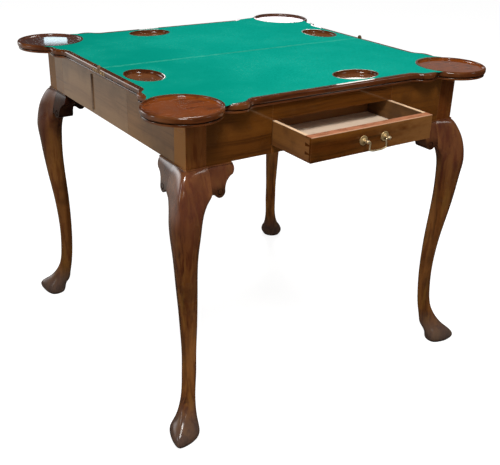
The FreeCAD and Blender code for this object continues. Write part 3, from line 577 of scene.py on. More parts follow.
@dataclass(frozen=True)
class LegMahogany(Mahogany):
    """Leg mahogany: plum at the knee, golden on the shin, foot greyed by dust and a painted sheen.
    """

    coat_roughness: float = 0.15
    top: float = 0.6
    sharp: float = 0.001
    post: Stain = Stain(from_screen(98, 46, 12), 0.5)
    # The side faces of the post, painted lighter than its front: painted light.
    side_x: Span = (0.3511, 0.3514)
    side: Stain = Stain(from_screen(172, 118, 62), 0.8)
    knee: Span = (0.40, 0.55)
    plum: Stain = Stain(from_screen(92, 50, 40), 0.5)
    streaks: Streaks = Streaks(7.0, 55.0, 3.0, 0.6)
    streak_rise: Span = (0.50, 0.66)
    olive: Stain = Stain(from_screen(134, 92, 38), 0.40)
    flames: Streaks = Streaks(11.0, 80.0, 3.0, 0.6)
    flame_rise: Span = (0.50, 0.64)
    streak_steps: Triple = (1.0, -1.0, 0.3)
    russet: Stain = Stain(from_screen(70, 24, 8), 0.50)
    # The foot is greyed: dust, and a painted sheen as if it mirrored the pale floor.
    foot: Span = (0.10, 0.02)
    dust_and_painted_sheen: Stain = Stain(from_screen(82, 74, 70), 0.7)
    # The lower part of the brackets, their scroll lobes, painted darker as painted shade.
    lobes: Span = (0.566, 0.548)
    lobe_painted_shade: float = 0.0
    foot_coat: Span = (-0.06, 0.16)
    thin_coat: float = 0.12

    def in_light(self, light: float) -> "LegMahogany":
        """The same finish painted brighter or darker on a leg, as painted light or shade."""
        stains = {name: getattr(self, name).in_light(light) for name in ("plum", "olive", "side")}
        return replace(self, tones=tuple(in_light(tone, light) for tone in self.tones),
                       rub=in_light(self.rub, light), **stains)

    def tint(self, recipe: Recipe, colour: Reading) -> Reading:
        """Stains the leg, the knee plum, the post; paints light on post sides, shade on lobes,
        sheen and dust on the foot.

        Args:
            recipe: The material's recipe.
            colour: The colour of the bare board.

        Returns:
            The colour with these on it.
        """
        x, _, z = recipe.axes(recipe.place())
        on_post = z.rise(self.top - self.sharp, self.top)
        apart = tuple(self.seed * step for step in self.streak_steps)
        place = recipe.vectors("ADD", recipe.place(), apart)
        streaks = recipe.cloud(place, self.streaks.run(self.grain))
        flames = recipe.axes(recipe.cloud(place, self.flames.run(self.grain), "Color"))[1]
        colour = recipe.stained(colour, self.olive, streaks.rise(*self.streak_rise))
        colour = recipe.stained(colour, self.russet, flames.rise(*self.flame_rise))
        colour = recipe.stained(colour, self.plum, z.rise(*self.knee) * (1.0 - on_post))
        # Painted shade: the lower lobes of the brackets are painted darker.
        colour = recipe.mix(colour, self.darkening_tone, z.rise(*self.lobes) * self.lobe_painted_shade)
        colour = recipe.stained(colour, self.post, on_post)
        # Painted light: the post's side faces are painted lighter than its front.
        colour = recipe.stained(colour, self.side, x.size().rise(*self.side_x) * on_post)
        # Dust and painted sheen: the foot is greyed as if it mirrored the pale floor.
        return recipe.stained(colour, self.dust_and_painted_sheen, z.rise(*self.foot))

    def polish(self, recipe: Recipe) -> Feed:
        """Full polish on the leg, and less on its foot and on the post above it."""
        z = recipe.axes(recipe.place())[2]
        below_post = z.rise(self.top, self.top - self.sharp)
        return below_post * z.rise(*self.foot_coat) * (self.coat - self.thin_coat) + self.thin_coat


@dataclass(frozen=True, kw_only=True)
class DrawerFrontMahogany(Mahogany):
    """Mahogany of the drawer front, rubbed bare along its top, with a painted sheen to its right
    end.
    """

    top: float
    face: float
    # One end of the front is painted lighter: a painted sheen.
    painted_sheen_patches: Cloud = Cloud((14.0, 1.0, 30.0))
    painted_sheen_rise: Span = (0.30, 0.62)
    painted_sheen_end: Span = (-0.10, 0.14)
    painted_sheen: Stain = Stain(from_screen(136, 92, 50), 0.75)
    edge: Span = (-0.0007, -0.0002)
    handling: Cloud = Cloud((45.0, 160.0, 1.0))
    handled_rise: Span = (0.34, 0.62)
    bare: Colour = from_screen(196, 130, 98)
    bare_share: float = 0.46
    handled_share: float = 0.42
    arris_depth: Span = (0.0032, 0.0014)
    arris_height: Span = (-0.0016, -0.0004)
    line: Stain = Stain(from_screen(222, 176, 142), 0.8)

    def tint(self, recipe: Recipe, colour: Reading) -> Reading:
        """Paints one end lighter as a painted sheen, and bares the top edge, palest along its
        outer arris.

        Args:
            recipe: The material's recipe.
            colour: The colour of the bare board.

        Returns:
            The colour with these on it.
        """
        x, y, z = recipe.axes(recipe.place())
        # Painted sheen: lighter patches towards the right end of the front.
        patches = recipe.cloud(recipe.place(), self.painted_sheen_patches).rise(*self.painted_sheen_rise)
        colour = recipe.stained(colour, self.painted_sheen, x.rise(*self.painted_sheen_end) * patches)
        on_top = z.near(self.top, self.edge)
        handled = recipe.cloud(recipe.place(), self.handling).rise(*self.handled_rise)
        bared = handled * self.handled_share + self.bare_share
        colour = recipe.mix(colour, self.bare, on_top * bared)
        arris = y.near(self.face, self.arris_depth) * z.near(self.top, self.arris_height)
        return recipe.stained(colour, self.line, arris)


@dataclass(frozen=True)
class Lining(Wood):
    """Unpolished drawer lining: pale where clean, browned where handled, and painted shade in its
    corners.
    """

    pore_relief: float = 0.5
    relief: float = 0.00008
    soft_edge: float = 0.0006
    top: float | None = None
    edge: Span = (-0.0008, -0.0003)
    pale: Stain = Stain(from_screen(236, 200, 162), 0.95)
    # The tone of the painted shade in the corners and of the soiling spots, and how far the shade
    # reaches.
    darkening_tone: Colour = from_screen(60, 38, 22)
    corner: float = 0.012
    hollow_darkening_reach: Span = (0.6, 0.2)
    hollow_darkening: float = 0.55
    spot_rise: Span = (0.60, 0.78)
    spots: float = 0.18
    roughness: float = 0.55
    mottle_haze: float = 0.15

    def material(self) -> bpy.types.Material:
        """Makes the material of one lining board.

        Returns:
            The finished material.
        """
        recipe = Recipe(self.name)
        figure = self.figure(recipe)
        colour = self.board(recipe, figure)
        if self.top is not None:
            z = recipe.axes(recipe.place())[2]
            colour = recipe.stained(colour, self.pale, z.near(self.top, self.edge))
        # Painted shade: the corners darken where less light reaches them; the mottled spots are
        # soiling.
        closed_in = recipe.hollows(self.corner).rise(*self.hollow_darkening_reach) * self.hollow_darkening
        darkening = closed_in + figure.mottle.rise(*self.spot_rise) * self.spots
        return recipe.finish({
            "Base Color": recipe.mix(colour, self.darkening_tone, darkening),
            "Roughness": figure.mottle * self.mottle_haze + self.roughness,
            "Normal": self.feel(recipe, figure),
            "IOR": self.ior,
        })


@dataclass(frozen=True)
class Cloth:
    """Green woollen baize with its nap, rubbed pale along the joint between the leaves."""

    name: str
    joint_y: float
    body: Colour = from_screen(14, 160, 142)
    shade: Colour = from_screen(4, 136, 118)
    light: Stain = Stain(from_screen(34, 178, 160), 0.30)
    rubbed: Stain = Stain(from_screen(84, 192, 164), 0.5)
    parted: Stain = Stain(from_screen(20, 60, 44), 0.8)
    nap: Cloud = Cloud(1400.0, 3.0, 0.7)
    felt: Cloud = Cloud(260.0)
    patch: Cloud = Cloud(7.0, 3.0, 0.55)
    rubbing: Cloud = Cloud((60.0, 400.0, 60.0), 4.0, 0.7)
    lint: Cloud = Cloud(420.0, 0.0, 0.5)
    felt_rise: Span = (0.25, 0.6)
    # The cloth darkens towards the left: painted shade.
    painted_shade_left: Span = (0.05, -0.32)
    painted_shade_left_share: float = 0.9
    light_rise: Span = (0.35, 0.75)
    nap_fall: Span = (0.62, 0.4)
    nap_shade: float = 0.3
    joint_rub: Span = (0.008, 0.0006)
    rub_rise: Span = (0.40, 0.60)
    joint_gap: Span = (0.0010, 0.0003)
    gap_start: Span = (-0.12, -0.02)
    gap_end: Span = (0.22, 0.10)
    lint_rise: Span = (0.74, 0.78)
    lint_patches: Span = (0.45, 0.6)
    nap_relief: float = 0.6
    relief: float = 0.0003
    roughness: float = 0.96

    def material(self) -> bpy.types.Material:
        """Makes the material of the cloth.

        Returns:
            The finished material.
        """
        recipe = Recipe(self.name)
        place = recipe.place()
        nap, felt, patch = (recipe.cloud(place, kind)
                            for kind in (self.nap, self.felt, self.patch))
        x, y, _ = recipe.axes(place)
        colour = recipe.mix(self.shade, self.body, felt.rise(*self.felt_rise))
        # Painted shade: the cloth is darker towards its left side.
        colour = recipe.mix(colour, self.shade, x.rise(*self.painted_shade_left) * self.painted_shade_left_share)
        colour = recipe.stained(colour, self.light, patch.rise(*self.light_rise))
        colour = recipe.mix(colour, self.shade, nap.rise(*self.nap_fall) * self.nap_shade)
        away = (y - self.joint_y).size()
        along = recipe.cloud(place, self.rubbing).rise(*self.rub_rise)
        colour = recipe.stained(colour, self.rubbed, away.rise(*self.joint_rub) * along)
        gap = away.rise(*self.joint_gap) * x.rise(*self.gap_start) * x.rise(*self.gap_end)
        colour = recipe.stained(colour, self.parted, gap)
        specks = recipe.cloud(place, self.lint).rise(*self.lint_rise)
        colour = recipe.stained(colour, self.rubbed, specks * patch.rise(*self.lint_patches))
        height = nap * self.nap_relief + felt * (1.0 - self.nap_relief)
        return recipe.finish({
            "Base Color": colour,
            "Roughness": self.roughness,
            "Normal": recipe.bump(height, self.relief),
            "Specular IOR Level": 0.0,
        })


@dataclass(frozen=True)
class Metal:
    """Old metal, dulled and darkened in its corners. Its tones are clean, dull and dirty."""

    name: str
    tones: Tones
    metallic: float = 1.0
    roughness: float = 0.3
    pitted: float = 0.3
    tarnish: Cloud = Cloud(130.0, 4.0, 0.6)
    scratches: Cloud = Cloud(900.0)
    tarnish_rise: Span = (0.42, 0.66)
    tarnish_share: float = 0.7
    tarnish_haze: float = 0.18
    scratch_haze: float = 0.06
    corner: float = 0.006
    hollow_darkening_reach: Span = (0.65, 0.2)
    hollow_darkening: float = 0.85
    hollow_darkening_haze: float = 0.25
    grime_cover: float = 0.5
    bright_edge: float = 0.0006
    edge_share: float = 0.6
    tarnish_relief: float = 0.7
    relief: float = 0.00006
    soft_edge: float = 0.0003

    def material(self) -> bpy.types.Material:
        """Makes the material of one metal.

        Returns:
            The finished material.
        """
        recipe = Recipe(self.name)
        clean, dull, darkening_tone = self.tones
        cloud = recipe.cloud(recipe.place(), self.tarnish)
        fine = recipe.cloud(recipe.place(), self.scratches)
        tarnish = cloud.rise(*self.tarnish_rise)
        darkening = recipe.hollows(self.corner).rise(*self.hollow_darkening_reach) * self.hollow_darkening
        colour = recipe.mix(clean, dull, tarnish * self.tarnish_share)
        colour = recipe.mix(colour, darkening_tone, darkening)
        edges = recipe.edges(self.bright_edge) * self.edge_share
        height = cloud * self.tarnish_relief + fine * (1.0 - self.tarnish_relief)
        soft = recipe.rounded(self.soft_edge)
        return recipe.finish({
            "Base Color": recipe.mix(colour, clean, edges),
            "Roughness": (tarnish * self.tarnish_haze + self.roughness
                          + darkening * self.hollow_darkening_haze + fine * self.scratch_haze),
            "Metallic": (1.0 - darkening * self.grime_cover) * self.metallic,
            "Normal": recipe.bump(height, self.relief * self.pitted, soft),
        })


LEAF_TONES = tones((46, 20, 8), (88, 44, 18), (118, 68, 32))
HINGE_BRASS = Metal("hinge_brass", tones((150, 118, 84), (96, 70, 46), (40, 26, 16)),
                    metallic=0.7, roughness=0.45)
HINGE_IRON = Metal("hinge_iron", tones((110, 86, 66), (76, 54, 38), (36, 24, 16)),
                   metallic=0.5, roughness=0.55, pitted=1.0)
HINGE_JOINT = Metal("hinge_joint", tones((122, 98, 78), (104, 80, 60), (84, 62, 46)),
                    metallic=0.1, roughness=0.5, pitted=1.0)
SCREW_STEEL = Metal("screw_steel", tones((150, 146, 140), (96, 84, 74), (40, 30, 24)),
                    roughness=0.4)
HANDLE_BRASS = Metal("handle_brass", tones((248, 228, 188), (190, 160, 112), (70, 48, 22)),
                     metallic=0.75)
ROSE_BRASS = Metal("rose_brass", tones((226, 196, 142), (156, 126, 84), (60, 42, 22)),
                   metallic=0.7, roughness=0.36)


def paint(node: str, material: bpy.types.Material) -> None:
    """Gives a node of the frame one material.

    Args:
        node: The node's name.
        material: The finish that it gets in all its slots.
    """
    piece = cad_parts[node]
    for slot in piece.material_slots:
        slot.material = material
    log.info("%s painted %s", node, material.name)


def finished(name: str, shape: bmesh.types.BMesh) -> bpy.types.Object:
    """Turns a shape into a piece of the scene, smooth but for its sharp edges.

    Args:
        name: The piece's name.
        shape: Its mesh, in place. It is freed.

    Returns:
        The new piece, at the origin.
    """
    data = bpy.data.meshes.new(name)
    for face in shape.faces:
        face.smooth = True
    for edge in shape.edges:
        edge.smooth = len(edge.link_faces) == 2 and edge.calc_face_angle(0.0) < SMOOTH_BELOW
    shape.to_mesh(data)
    shape.free()
    piece = bpy.data.objects.new(name, data)
    bpy.context.scene.collection.objects.link(piece)
    return piece


def everything(shape: bmesh.types.BMesh) -> list:
    """All corners, edges and faces of a shape, as the operators take them."""
    return shape.verts[:] + shape.edges[:] + shape.faces[:]


@dataclass
class CardTop:
    """The two leaves with their cloths and card hinges."""

    disc_radius: float = 0.079
    dish_radius: float = 0.074
    quirk_drop: float = 0.013
    weld: float = 0.00002
    flat_below: float = math.radians(1)
    grid: float = 0.014
    cut_reach: float = 0.000001
    upward: float = 0.9
    upright: float = 0.5
    skin: float = 0.0001
    ripples: float = 14.0
    ripple_seed: float = 0.3
    swell: float = 0.00022
    tuck: float = 0.0003

    def dress(self) -> None:
        """Gives the leaves and card hinges their finishes and lays the cloths."""
        for node, seed, warm, burnt in (
                ("front_leaf", 1.7, from_screen(140, 68, 17), from_screen(80, 34, 8)),
                ("fly_leaf", 5.3, from_screen(92, 62, 56), from_screen(50, 34, 32))):
            low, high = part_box(node)
            front_dish, back_dish = low.y + self.disc_radius, high.y - self.disc_radius
            paint(node, LeafMahogany(
                name="polish_" + node, grain=Grain.ACROSS, seed=seed, tones=LEAF_TONES,
                dish_x=high.x - self.disc_radius,
                dish_y=front_dish if node == "front_leaf" else back_dish,
                dish_radius=self.dish_radius, quirk=high.z - self.quirk_drop,
                warm=warm, burnt=burnt).material())
        self.lay("front_baize_cloth", "front_leaf_baize", "front_leaf", "front_frame")
        self.lay("fly_baize_cloth", "fly_leaf_baize", "fly_leaf", "fly_top")
        brass = HINGE_BRASS.material()
        for node in ("card_hinge_front_plates", "card_hinge_fly_plates", "card_hinge_pins"):
            paint(node, brass)

    def lay(self, name: str, node: str, leaf: str, body: str) -> None:
        """Lays one cloth in its bed.

        Args:
            name: The new piece's name.
            node: The node that the cloth stands for.
            leaf: The leaf that it is glued to.
            body: The body that it moves with.
        """
        low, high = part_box(node)
        shape = bmesh.new()
        shape.from_mesh(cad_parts[node].data)
        bmesh.ops.remove_doubles(shape, verts=shape.verts, dist=self.weld)
        bmesh.ops.dissolve_limit(shape, angle_limit=self.flat_below, verts=shape.verts,
                                 edges=shape.edges)
        for axis in (0, 1):
            start, end = low[axis], high[axis]
            count = int((end - start) / self.grid)
            for i in range(1, count):
                point, way = Vector((0, 0, 0)), Vector((0, 0, 0))
                point[axis], way[axis] = start + (end - start) * i / count, 1
                bmesh.ops.bisect_plane(shape, geom=everything(shape), dist=self.cut_reach,
                                       plane_co=point, plane_no=way)
        area = sum(face.calc_area() for face in shape.faces if face.normal.z > self.upward)
        top = [vertex for vertex in shape.verts if vertex.co.z > high.z - self.skin]
        rim = {vertex for vertex in top
               if any(abs(face.normal.z) < self.upright for face in vertex.link_faces)}
        for vertex in top:
            x, y, _ = vertex.co
            lift = noise.noise(Vector((x * self.ripples, y * self.ripples, self.ripple_seed)))
            vertex.co.z += lift * self.swell - (self.tuck if vertex in rim else 0.0)
        bmesh.ops.recalc_face_normals(shape, faces=shape.faces)
        piece = finished(name, shape)
        joint_y = high.y if leaf == "front_leaf" else low.y
        piece.data.materials.append(Cloth("baize_" + leaf, joint_y).material())
        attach(piece, body)
        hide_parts(node)
        log.info("%s laid, %.4f square metres", name, area)


@dataclass
class Frieze:
    """The rails round the frame, the folding side panels and what is hidden behind them."""

    front: Tones = tones((62, 32, 8), (96, 54, 15), (122, 74, 26))
    sides: Tones = tones((100, 66, 32), (132, 90, 48), (150, 108, 60))
    panels: Tones = tones((106, 76, 48), (138, 102, 68), (156, 120, 82))
    back: Tones = tones((50, 25, 10), (98, 56, 24), (118, 72, 34))
    softwood: Tones = tones((128, 88, 52), (172, 126, 80), (196, 152, 102))
    shiny: float = 0.18
    dull: float = 0.24

    def dress(self) -> None:
        """Gives the rails, panels, inner pieces and hinges their finishes."""
        self.polish(self.front, Grain.ACROSS, self.shiny, {
            "front_rail_left": 2.1, "front_rail_right": 3.9,
            "drawer_rail_top": 6.4, "drawer_rail_bottom": 8.2})
        self.polish(self.sides, Grain.DEEP, self.dull, {
            "side_rail_left": 11.2, "side_rail_right": 12.9, "back_side_rails": 24.6})
        self.polish(self.panels, Grain.DEEP, self.dull, {
            "left_front_panel": 14.4, "left_rear_panel": 17.7,
            "right_front_panel": 19.1, "right_rear_panel": 21.3})
        self.polish(self.back, Grain.ACROSS, self.shiny, {"back_rail": 27.5})
        self.polish(LEAF_TONES, Grain.DEEP, self.shiny, {"lock_slide_pull": 31.0})
        for node, grain, seed in (
                ("inner_cross_rail", Grain.ACROSS, 20.8), ("drawer_runners", Grain.DEEP, 18.2),
                ("lock_slide_bearers", Grain.DEEP, 23.4), ("lock_slide", Grain.ACROSS, 13.0),
                ("front_corner_blocks", Grain.UPRIGHT, 24.7),
                ("back_corner_blocks", Grain.UPRIGHT, 23.4)):
            paint(node, Lining("softwood_" + node, grain, seed, self.softwood).material())
        iron, joint = HINGE_IRON.material(), HINGE_JOINT.material()
        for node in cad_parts:
            frame_hinge = "card" not in node and node.endswith(("hinge_plates", "hinge_pins"))
            if "mid_hinge" in node:
                paint(node, joint)
            elif "strap" in node or frame_hinge:
                paint(node, iron)
        paint("top_screws", SCREW_STEEL.material())

    def polish(self, colours: Tones, grain: Grain, roughness: float,
               seeds: dict[str, float]) -> None:
        """Polishes boards that were cut from one timber.

        Args:
            colours: The timber's colours.
            grain: The way that its grain runs.
            roughness: How rough the polish has become.
            seeds: The boards' nodes, each with the seed of its pattern.
        """
        for node, seed in seeds.items():
            board = Mahogany("polish_" + node, grain, seed, colours, roughness=roughness)
            paint(node, board.material())


class LegLook(NamedTuple):
    """A corner's painted light or shade on its leg and brackets, and how much polish is left on
    them.
    """

    leg: float
    brackets: float
    leg_coat: float
    bracket_coat: float


@dataclass
class Legs:
    """The four cabriole legs and their scrolled knee brackets."""

    colours: Tones = tones((46, 22, 8), (103, 59, 24), (150, 98, 50))
    # How much legs and brackets darken in their hollows: painted shade, with some soiling.
    leg_hollow_darkening: float = 0.9
    bracket_hollow_darkening: float = 0.95
    # How much darker the brackets' lower lobes are painted: painted shade.
    lobe_painted_shade: float = 0.65
    leg_seeds: Span = (40.0, 3.1)
    bracket_seeds: Span = (60.0, 2.7)
    # Each corner's leg and brackets are painted brighter or darker: painted light and shade.
    looks: dict[str, LegLook] = field(default_factory=lambda: {
        "front_left": LegLook(1.18, 1.0, 1.0, 1.0),
        "front_right": LegLook(0.95, 0.8, 0.6, 0.5),
        "back_left": LegLook(0.74, 0.22, 0.20, 0.0),
        "back_right": LegLook(1.68, 0.9, 0.6, 0.4),
    })

    def dress(self) -> None:
        """Gives each leg and its brackets their finish, with each corner's painted light or shade.
        """
        for i, (corner, look) in enumerate(self.looks.items()):
            for part, seeds, light, finish in (
                    ("_leg", self.leg_seeds, look.leg,
                     {"hollow_darkening": self.leg_hollow_darkening, "coat": look.leg_coat}),
                    ("_knee_brackets", self.bracket_seeds, look.brackets,
                     {"hollow_darkening": self.bracket_hollow_darkening, "coat": look.bracket_coat,
                      "lobe_painted_shade": self.lobe_painted_shade})):
                wood = LegMahogany("polish_" + corner + part, Grain.UPRIGHT,
                                   seeds[0] + i * seeds[1], self.colours, **finish)
                paint(corner + part, wood.in_light(light).material())


@dataclass
class DrawerUnit:
    """The drawer with its brass handle."""

    front: Tones = tones((30, 14, 3), (84, 43, 9), (126, 77, 26))
    front_coat: float = 0.28
    lining: Tones = tones((70, 38, 10), (122, 74, 28), (150, 98, 44))
    # A darker copy of the lining for the drawer's right side: painted shade.
    shaded_lining: Tones = tones((56, 34, 12), (98, 64, 28), (120, 82, 40))
    floor: Tones = tones((208, 180, 152), (232, 208, 184), (240, 220, 198))

    def dress(self) -> None:
        """Gives the drawer and handle their finishes."""
        low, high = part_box("drawer_front")
        paint("drawer_front", DrawerFrontMahogany(
            name="polish_drawer_front", grain=Grain.ACROSS, seed=71.0, tones=self.front,
            top=high.z, face=low.y, coat=self.front_coat).material())
        for node, grain, seed, colours in (
                ("drawer_side_left", Grain.DEEP, 74.0, self.lining),
                # The right side takes the darker lining: painted shade.
                ("drawer_side_right", Grain.DEEP, 76.5, self.shaded_lining),
                ("drawer_back", Grain.ACROSS, 79.0, self.lining)):
            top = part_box(node)[1].z
            paint(node, Lining("lining_" + node, grain, seed, colours, top=top).material())
        paint("drawer_bottom", Lining("lining_drawer_bottom", Grain.ACROSS, 82.0,
                                      self.floor).material())
        brass = HANDLE_BRASS.material()
        for node in ("handle_posts", "handle_nuts", "handle_bail"):
            paint(node, brass)
        paint("handle_roses", ROSE_BRASS.material())


@dataclass
class Screws:
    """The slotted screw heads of the card hinges, the frame hinges and the panel straps."""

    segments: int = 16
    slot_share: float = 0.16
    proud: float = 0.00025
    slot_depth: float = 0.8
    cut_reach: float = 0.0000001
    first_turn: float = 20.0
    turn_step: float = 67.0
    brass_radius: float = 0.0026
    iron_radius: float = 0.0032
    card_rise: float = 0.0045
    card_reaches: Span = (0.0135, 0.0265)
    plate_reaches: Span = (0.007, 0.017)
    plate_rises: Span = (0.009, 0.051)
    strap_reaches: Triple = (0.008, 0.028, 0.048)

    def head(self, shape: bmesh.types.BMesh, centre: Vector, outward: Vector, radius: float,
             turn: float) -> None:
        """Adds one slotted head to a shape.

        Args:
            shape: The mesh that takes the head.
            centre: The middle of the head, on the plate's face.
            outward: The way the head faces.
            radius: Its radius.
            turn: How far its slot is turned, in degrees.
        """
        one = bmesh.new()
        bmesh.ops.create_circle(one, cap_ends=True, segments=self.segments, radius=radius)
        half = radius * self.slot_share
        for side in (-1, 1):
            bmesh.ops.bisect_plane(one, geom=everything(one), dist=self.cut_reach,
                                   plane_co=(0, side * half, 0), plane_no=(0, 1, 0))
        self.pull(one, one.faces[:], self.proud)
        middles = {face: face.calc_center_median() for face in one.faces}
        floor = [face for face, middle in middles.items()
                 if middle.z > self.proud - self.cut_reach and abs(middle.y) < half]
        self.pull(one, floor, -self.proud * self.slot_depth)
        bmesh.ops.delete(one, geom=floor, context="FACES")
        bmesh.ops.recalc_face_normals(one, faces=one.faces)
        facing = outward.to_track_quat("Z", "Y").to_matrix().to_4x4()
        spin = facing @ Matrix.Rotation(math.radians(turn), 4, "Z")
        bmesh.ops.transform(one, matrix=Matrix.Translation(centre) @ spin, verts=one.verts)
        kept = bpy.data.meshes.new("head")
        one.to_mesh(kept)
        one.free()
        shape.from_mesh(kept)
        bpy.data.meshes.remove(kept)

    def pull(self, shape: bmesh.types.BMesh, faces: list[bmesh.types.BMFace], rise: float) -> None:
        """Draws faces out of a shape along Z.

        Args:
            shape: The shape.
            faces: The faces to draw out.
            rise: How far, in metres. Below 0 it pushes them in.
        """
        drawn = bmesh.ops.extrude_face_region(shape, geom=faces)
        moved = [item for item in drawn["geom"] if isinstance(item, bmesh.types.BMVert)]
        bmesh.ops.translate(shape, verts=moved, vec=(0, 0, rise))

    def row(self, name: str, body: str, slot: str, radius: float,
            places: list[tuple[Vector, Vector]]) -> None:
        """Makes the screw heads of one group of plates as a single piece.

        Args:
            name: The piece's name.
            body: The body that it moves with.
            slot: The material slot that it takes its finish from, and its material's name.
            radius: The radius of each head.
            places: The middle of each head and the way it faces.
        """
        shape = bmesh.new()
        for i, (centre, outward) in enumerate(places):
            self.head(shape, centre, outward, radius, i * self.turn_step + self.first_turn)
        piece = finished(name, shape)
        piece.data.materials.append(bpy.data.materials[slot])
        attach(piece, body)
        log.info("%s: %d heads", name, len(places))

    def fit(self) -> None:
        """Puts screws in the card hinges, the frame hinges and the straps."""
        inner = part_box("side_rail_right")[0].x
        low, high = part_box("card_hinge_front_plates")
        joint = (high.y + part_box("card_hinge_fly_plates")[0].y) / 2
        for name, body, way in (("card_hinge_screws_front", "front_frame", -1),
                                ("card_hinge_screws_fly", "fly_top", 1)):
            places = [(Vector((side * high.x, joint + way * reach, low.z + self.card_rise)),
                       Vector((side, 0, 0))) for side in (-1, 1) for reach in self.card_reaches]
            self.row(name, body, "hinge_brass", self.brass_radius, places)
        for group, body, way in (("front_hinge_plates", "front_frame", 1),
                                 ("back_hinge_plates", "back_frame", -1)):
            low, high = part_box(group)
            end = low.y if way > 0 else high.y
            places = [(Vector((side * inner, end + way * reach, low.z + rise)),
                       Vector((-side, 0, 0))) for side in (-1, 1)
                      for reach in self.plate_reaches for rise in self.plate_rises]
            name = group.replace("plates", "screws")
            self.row(name, body, "hinge_iron", self.iron_radius, places)
        for side_name, side in (("left", -1), ("right", 1)):
            for part, way in (("front", -1), ("rear", 1)):
                low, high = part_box(f"{side_name}_{part}_panel_strap")
                end = low.y if way > 0 else high.y
                places = [(Vector((side * inner, end + way * reach, (low.z + high.z) / 2)),
                           Vector((-side, 0, 0))) for reach in self.strap_reaches]
                self.row(f"{side_name}_{part}_strap_screws", f"{side_name}_{part}_panel_group",
                         "hinge_iron", self.iron_radius, places)


class Lamp(NamedTuple):
    """A soft lamp: where it hangs, the point it faces, its width and height, watts and colour."""

    name: str
    place: Triple
    aim: Triple
    size: Span
    power: float
    colour: Colour = WHITE


# The first five light the table. The others are small, and show only as glints in the polish.
LAMPS = (
    Lamp("key", (-1.1, -1.75, 3.3), (0.0, 0.0, 0.6), (0.9, 0.9), 88.0, (1.0, 0.98, 0.95)),
    Lamp("ceiling", (1.0, 1.5, 3.2), (0.0, 0.0, 0.6), (0.6, 0.6), 30.0, (1.0, 0.98, 0.95)),
    Lamp("left", (-2.9, 0.75, 1.3), (-0.35, -0.3, 0.6), (0.4, 1.2), 9.0, (0.96, 0.98, 1.0)),
    Lamp("front", (-0.65, -3.2, 1.95), (-0.35, -0.3, 0.6), (0.35, 0.35), 3.6, (1.0, 0.97, 0.93)),
    Lamp("right", (1.8, -1.85, 2.1), (-0.2, -0.2, 0.6), (0.4, 0.5), 5.0, (1.0, 0.97, 0.93)),
    Lamp("window", (0.697, 3.234, 1.277), (-0.35, 0.37, 0.72), (0.14, 0.12), 0.19,
         (0.72, 0.92, 1.0)),
    Lamp("doorway", (2.07, 2.82, 1.22), (0.35, 0.41, 0.72), (0.5, 0.16), 0.98, (1.0, 0.9, 0.95)),
    Lamp("left_pane", (1.11, 2.49, 1.44), (-0.28, -0.05, 0.71), (0.10, 0.05), 0.07),
    Lamp("front_pane", (2.04, 1.91, 1.44), (0.09, -0.26, 0.71), (0.22, 0.10), 0.32,
         (1.0, 1.0, 0.95)),
    Lamp("back_pane", (1.257, 3.051, 1.266), (-0.06, 0.41, 0.71), (0.12, 0.06), 0.07),
    Lamp("far_pane", (2.173, 2.51, 1.257), (0.34, 0.20, 0.71), (0.10, 0.06), 0.10),
)


class Glow(NamedTuple):
    """A bright part of the room's wall, by the way to it along each axis, and its strength."""

    x: Span
    y: Span
    bottom: Span
    top: Span
    strength: float


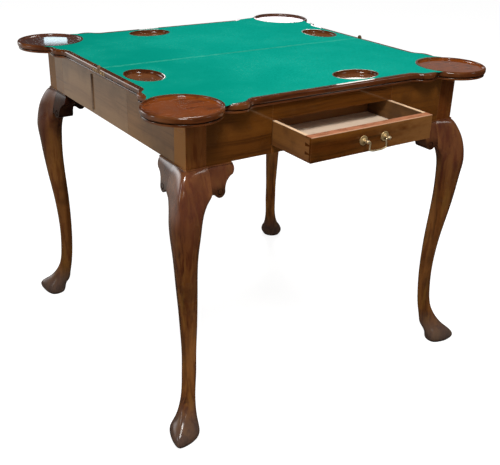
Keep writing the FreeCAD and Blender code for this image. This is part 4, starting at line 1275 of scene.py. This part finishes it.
@dataclass
class Studio:
    """The floor, the light and the background."""

    ambient: float = 0.24
    floor_half: float = 8.0
    floor_roughness: float = 0.9
    floor_albedo: Span = (0.45, 0.5)
    floor_seen: float = 0.86
    floor_mirrored: Span = (0.02, 0.60)
    floor_tone: Colour = (1.0, 0.92, 0.82)
    floor_slant: float = 0.7
    floor_reach: Span = (0.0, 3.2)
    wall_dim: float = 0.03
    walls: tuple[Glow, Glow] = (
        Glow((-0.05, -0.38), (0.62, 0.92), (-0.12, 0.16), (0.46, 0.24), 4.2),
        Glow((0.40, 0.62), (0.35, 0.58), (-2.0, -1.0), (0.26, 0.20), 0.22),
    )

    def build(self) -> None:
        """Lays the floor and sets the light."""
        self.lay_floor()
        self.light_room()
        for lamp in LAMPS:
            self.hang(lamp)

    def hang(self, lamp: Lamp) -> None:
        """Hangs one soft lamp.

        Args:
            lamp: The lamp.
        """
        light = bpy.data.lights.new(lamp.name, "AREA")
        light.shape = "RECTANGLE"
        light.size, light.size_y = lamp.size
        light.energy = lamp.power
        light.color = lamp.colour
        holder = bpy.data.objects.new(lamp.name, light)
        place = Vector(lamp.place)
        holder.location = place
        holder.rotation_mode = "QUATERNION"
        holder.rotation_quaternion = (Vector(lamp.aim) - place).to_track_quat("-Z", "Y")
        bpy.context.scene.collection.objects.link(holder)

    def lay_floor(self) -> None:
        """Lays a pale floor, white where it is lit and soft grey in the table's shadow."""
        shape = bmesh.new()
        bmesh.ops.create_grid(shape, x_segments=1, y_segments=1, size=self.floor_half)
        floor = finished("floor", shape)
        recipe = Recipe("floor")
        seen, mirrored = recipe.ray(Ray.SEEN), recipe.ray(Ray.MIRRORED)
        x, y, _ = recipe.axes(recipe.place())
        lit_side = (y * self.floor_slant - x * self.floor_slant).rise(*self.floor_reach)
        least, more = self.floor_mirrored
        glow = seen * self.floor_seen + mirrored * (lit_side * more + least)
        tone = recipe.mix(WHITE, self.floor_tone, mirrored)
        to_camera, to_table = self.floor_albedo
        albedo = seen * to_camera + (1.0 - seen) * (1.0 - mirrored) * to_table
        floor.data.materials.append(recipe.finish({
            "Base Color": recipe.mix(BLACK, WHITE, albedo),
            "Roughness": self.floor_roughness,
            "Emission Color": recipe.mix(BLACK, tone, glow),
            "Specular IOR Level": 0.0,
            "Emission Strength": 1.0,
        }))

    def light_room(self) -> None:
        """Sets a white background, an even light, and a wall behind for polish to mirror."""
        world = bpy.data.worlds.new("room")
        bpy.context.scene.world = world
        world.use_nodes = True
        room = Nodes(world.node_tree)
        seen = room.ray(Ray.SEEN)
        mirrored = room.ray(Ray.MIRRORED).larger(room.ray(Ray.THROUGH))
        x, y, z = room.axes(room.node("ShaderNodeTexCoord", output="Generated"))
        left, right = (x.rise(*wall.x) * y.rise(*wall.y) * z.rise(*wall.bottom)
                       * z.rise(*wall.top) * wall.strength for wall in self.walls)
        polish = mirrored * (left + right + self.wall_dim)
        strength = seen + (1.0 - seen) * (polish + (1.0 - mirrored) * self.ambient)
        sky = room.node("ShaderNodeBackground", None, {"Color": WHITE, "Strength": strength})
        room.end("ShaderNodeOutputWorld", sky)
        bpy.context.scene.view_settings.view_transform = "Standard"


@dataclass
class PhotoCamera:
    """The camera where the photograph was taken from."""

    place: Triple = (-1.00595, -1.48880, 1.11039)
    azimuth: float = -34.274
    elevation: float = 25.298
    roll: float = 1.554
    lens: float = 55.31
    sensor: float = 36.0
    near: float = 0.05
    far: float = 60.0

    def build(self) -> None:
        """Sets the scene's camera."""
        data = bpy.data.cameras.new("photo_camera")
        data.lens = self.lens
        data.sensor_width = self.sensor
        data.sensor_fit = "HORIZONTAL"
        data.clip_start, data.clip_end = self.near, self.far
        camera = bpy.data.objects.new("photo_camera", data)
        turn = Matrix.Identity(4)
        for angle, axis in ((self.azimuth, "Z"), (90 - self.elevation, "X"), (self.roll, "Z")):
            turn = turn @ Matrix.Rotation(math.radians(angle), 4, axis)
        camera.matrix_world = Matrix.Translation(self.place) @ turn
        bpy.context.scene.collection.objects.link(camera)
        bpy.context.scene.camera = camera


def main() -> None:
    """Builds and dresses the table, then lights it."""
    logging.basicConfig(level=logging.INFO, format="%(message)s")
    PhotoCamera().build()
    for assembly in (CardTop(), Frieze(), Legs(), DrawerUnit()):
        assembly.dress()
    Screws().fit()
    Studio().build()


if __name__ == "__main__":
    main()
